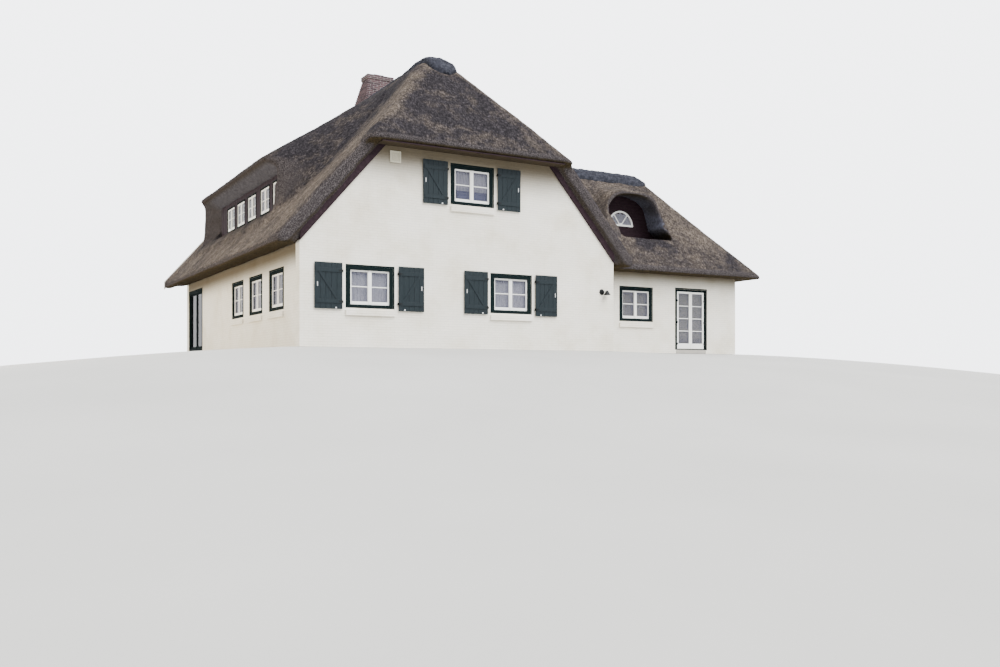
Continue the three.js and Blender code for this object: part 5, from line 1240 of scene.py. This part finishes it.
for side, side_name in ((-1, "left"), (1, "right")):
    body = f"garden_door_{side_name}_leaf"
    pin = side * (half - border)
    edge = pin - side * LEAF["clear"]
    x0, x1 = sorted((edge, edge - side * leaf_width))
    boxes = sash_boxes(x0, x1, z0, z1, y0, y1, LEAF["rows"], LEAF["stile"], LEAF["foot"], (0.006, 0.008))
    blocks(body + "_joinery", boxes, white_paint, 0.003, door_place, body, "white_joinery", [body])
    pane = (x0 + inset, x1 - inset, near, far, low - rebate, high + rebate)
    blocks(body + "_glass", [pane], glass, 0, door_place, body)
    curtain(body + "_net", door_place, x0 + inset + 0.01, x1 - inset - 0.01, low - 0.02, high - 0.01, y1 + LEAF["net"],
            body, LEAF["folds"], LEAF["sway"], raw_net)
    straps, posts = [], []
    for z in DOOR_HINGE["levels"]:
        strap, bolt, lower = DOOR_HINGE["strap"], DOOR_HINGE["pin"], z - DOOR_HINGE["below"]
        straps.append((*sorted((pin, edge - side * DOOR_HINGE["lap"])), axis - strap, into, z, z + PINTLE["height"]))
        posts.append((pin, axis, z, z + PINTLE["height"], PINTLE["eye"]))
        pins.append((pin, axis, lower, z + PINTLE["height"] + DOOR_HINGE["above"], bolt))
        arms.append((pin - bolt, pin + bolt, axis - bolt, into, lower, z - DOOR_HINGE["play"]))
    blocks(body + "_hinges", straps, iron, 0, door_place, body, "black_iron", posts=posts)
blocks("garden_door_pintles", arms, iron, 0, door_place, slot_name="black_iron", posts=pins)


# Wall fittings. A pale painted steel vent with slats, and a black iron lamp: a round back plate,
# an arm to the right and a spun cone shade.
VENT = {"x": 2.53, "z": 4.905, "half": 0.15, "border": 0.035, "depth": 0.03, "off_wall": -0.001,
        "plate": (0.03, -0.012), "grille": (0.085, 0.012, -0.024, -0.010), "slat": (0.075, 0.006, -0.020),
        "slats": (-0.055, 0.055, 5)}
LAMP = {"x": 9.06, "z": 1.72, "out": -0.11, "reach": 0.12, "drop": 0.09, "sides": 40, "arm": 0.012,
        "arm_to": -0.015, "rod": (0.008, 0.007), "rod_end": 0.004}
PLATE_PROFILE = [(0.080, 0.0005), (0.085, 0.004), (0.085, 0.014), (0.070, 0.020), (0.03, 0.022)]
SHADE_PROFILE = [(0.095, 0.0), (0.100, 0.002), (0.100, 0.008), (0.068, 0.055), (0.036, 0.112), (0.022, 0.128),
                 (0.008, 0.130)]

vent_paint = gloss_paint("vent_enamel", "#A8A38F", "#BDB8A5", 0.5)
half, front, (plate_in, plate_y) = VENT["half"], VENT["off_wall"], VENT["plate"]
boxes = ring_boxes(-half, half, -half, half, VENT["border"], -VENT["depth"], front)
boxes.append((-half + plate_in, half - plate_in, plate_y, front, -half + plate_in, half - plate_in))
reach, border, *deep = VENT["grille"]
boxes += ring_boxes(-reach, reach, -reach, reach, border, *deep)
reach, thin, slat_y = VENT["slat"]
boxes += [(-reach, reach, slat_y, deep[1], z - thin, z + thin) for z in np.linspace(*VENT["slats"])]
blocks("vent_grille", boxes, vent_paint, 0.003, placed_at(house(VENT["x"], 0, VENT["z"])), slot_name="pale_verge_board",
       nodes=["vent_cover"])


def turned(name, profile, centre, upright, *nodes):
    """A form spun round an axis from its profile of radius and height."""
    corners, faces, count = [], [], LAMP["sides"]
    for radius, level in profile:
        for k in range(count):
            a = 2 * math.pi * k / count
            across, up = radius * math.cos(a), radius * math.sin(a)
            corners.append((across, up, level) if upright else (across, -level, up))
    for first in range(0, (len(profile) - 1) * count, count):
        faces += [(first + k, first + (k + 1) % count, first + count + (k + 1) % count, first + count + k)
                  for k in range(count)]
    faces += [tuple(range(count - 1, -1, -1)), tuple(range((len(profile) - 1) * count, len(profile) * count))]
    belongs(mesh_object(name, corners, faces, iron, True, placed_at(centre)), "house", "black_iron", *nodes)


turned("lamp_plate", PLATE_PROFILE, house(LAMP["x"], 0, LAMP["z"]), False, "wall_lamp")
turned("lamp_shade", SHADE_PROFILE, house(LAMP["x"] + LAMP["reach"], LAMP["out"], LAMP["z"] - LAMP["drop"]), True)
thick, out, (deep, tall) = LAMP["arm"], LAMP["out"], LAMP["rod"]
blocks("lamp_arm", [(-thick, thick, out - deep, LAMP["arm_to"], -thick, thick),
                    (-thick, LAMP["reach"] + LAMP["rod_end"], out - deep, out + deep, -tall, tall)],
       iron, 0.003, placed_at(house(LAMP["x"], 0, LAMP["z"])), slot_name="black_iron")
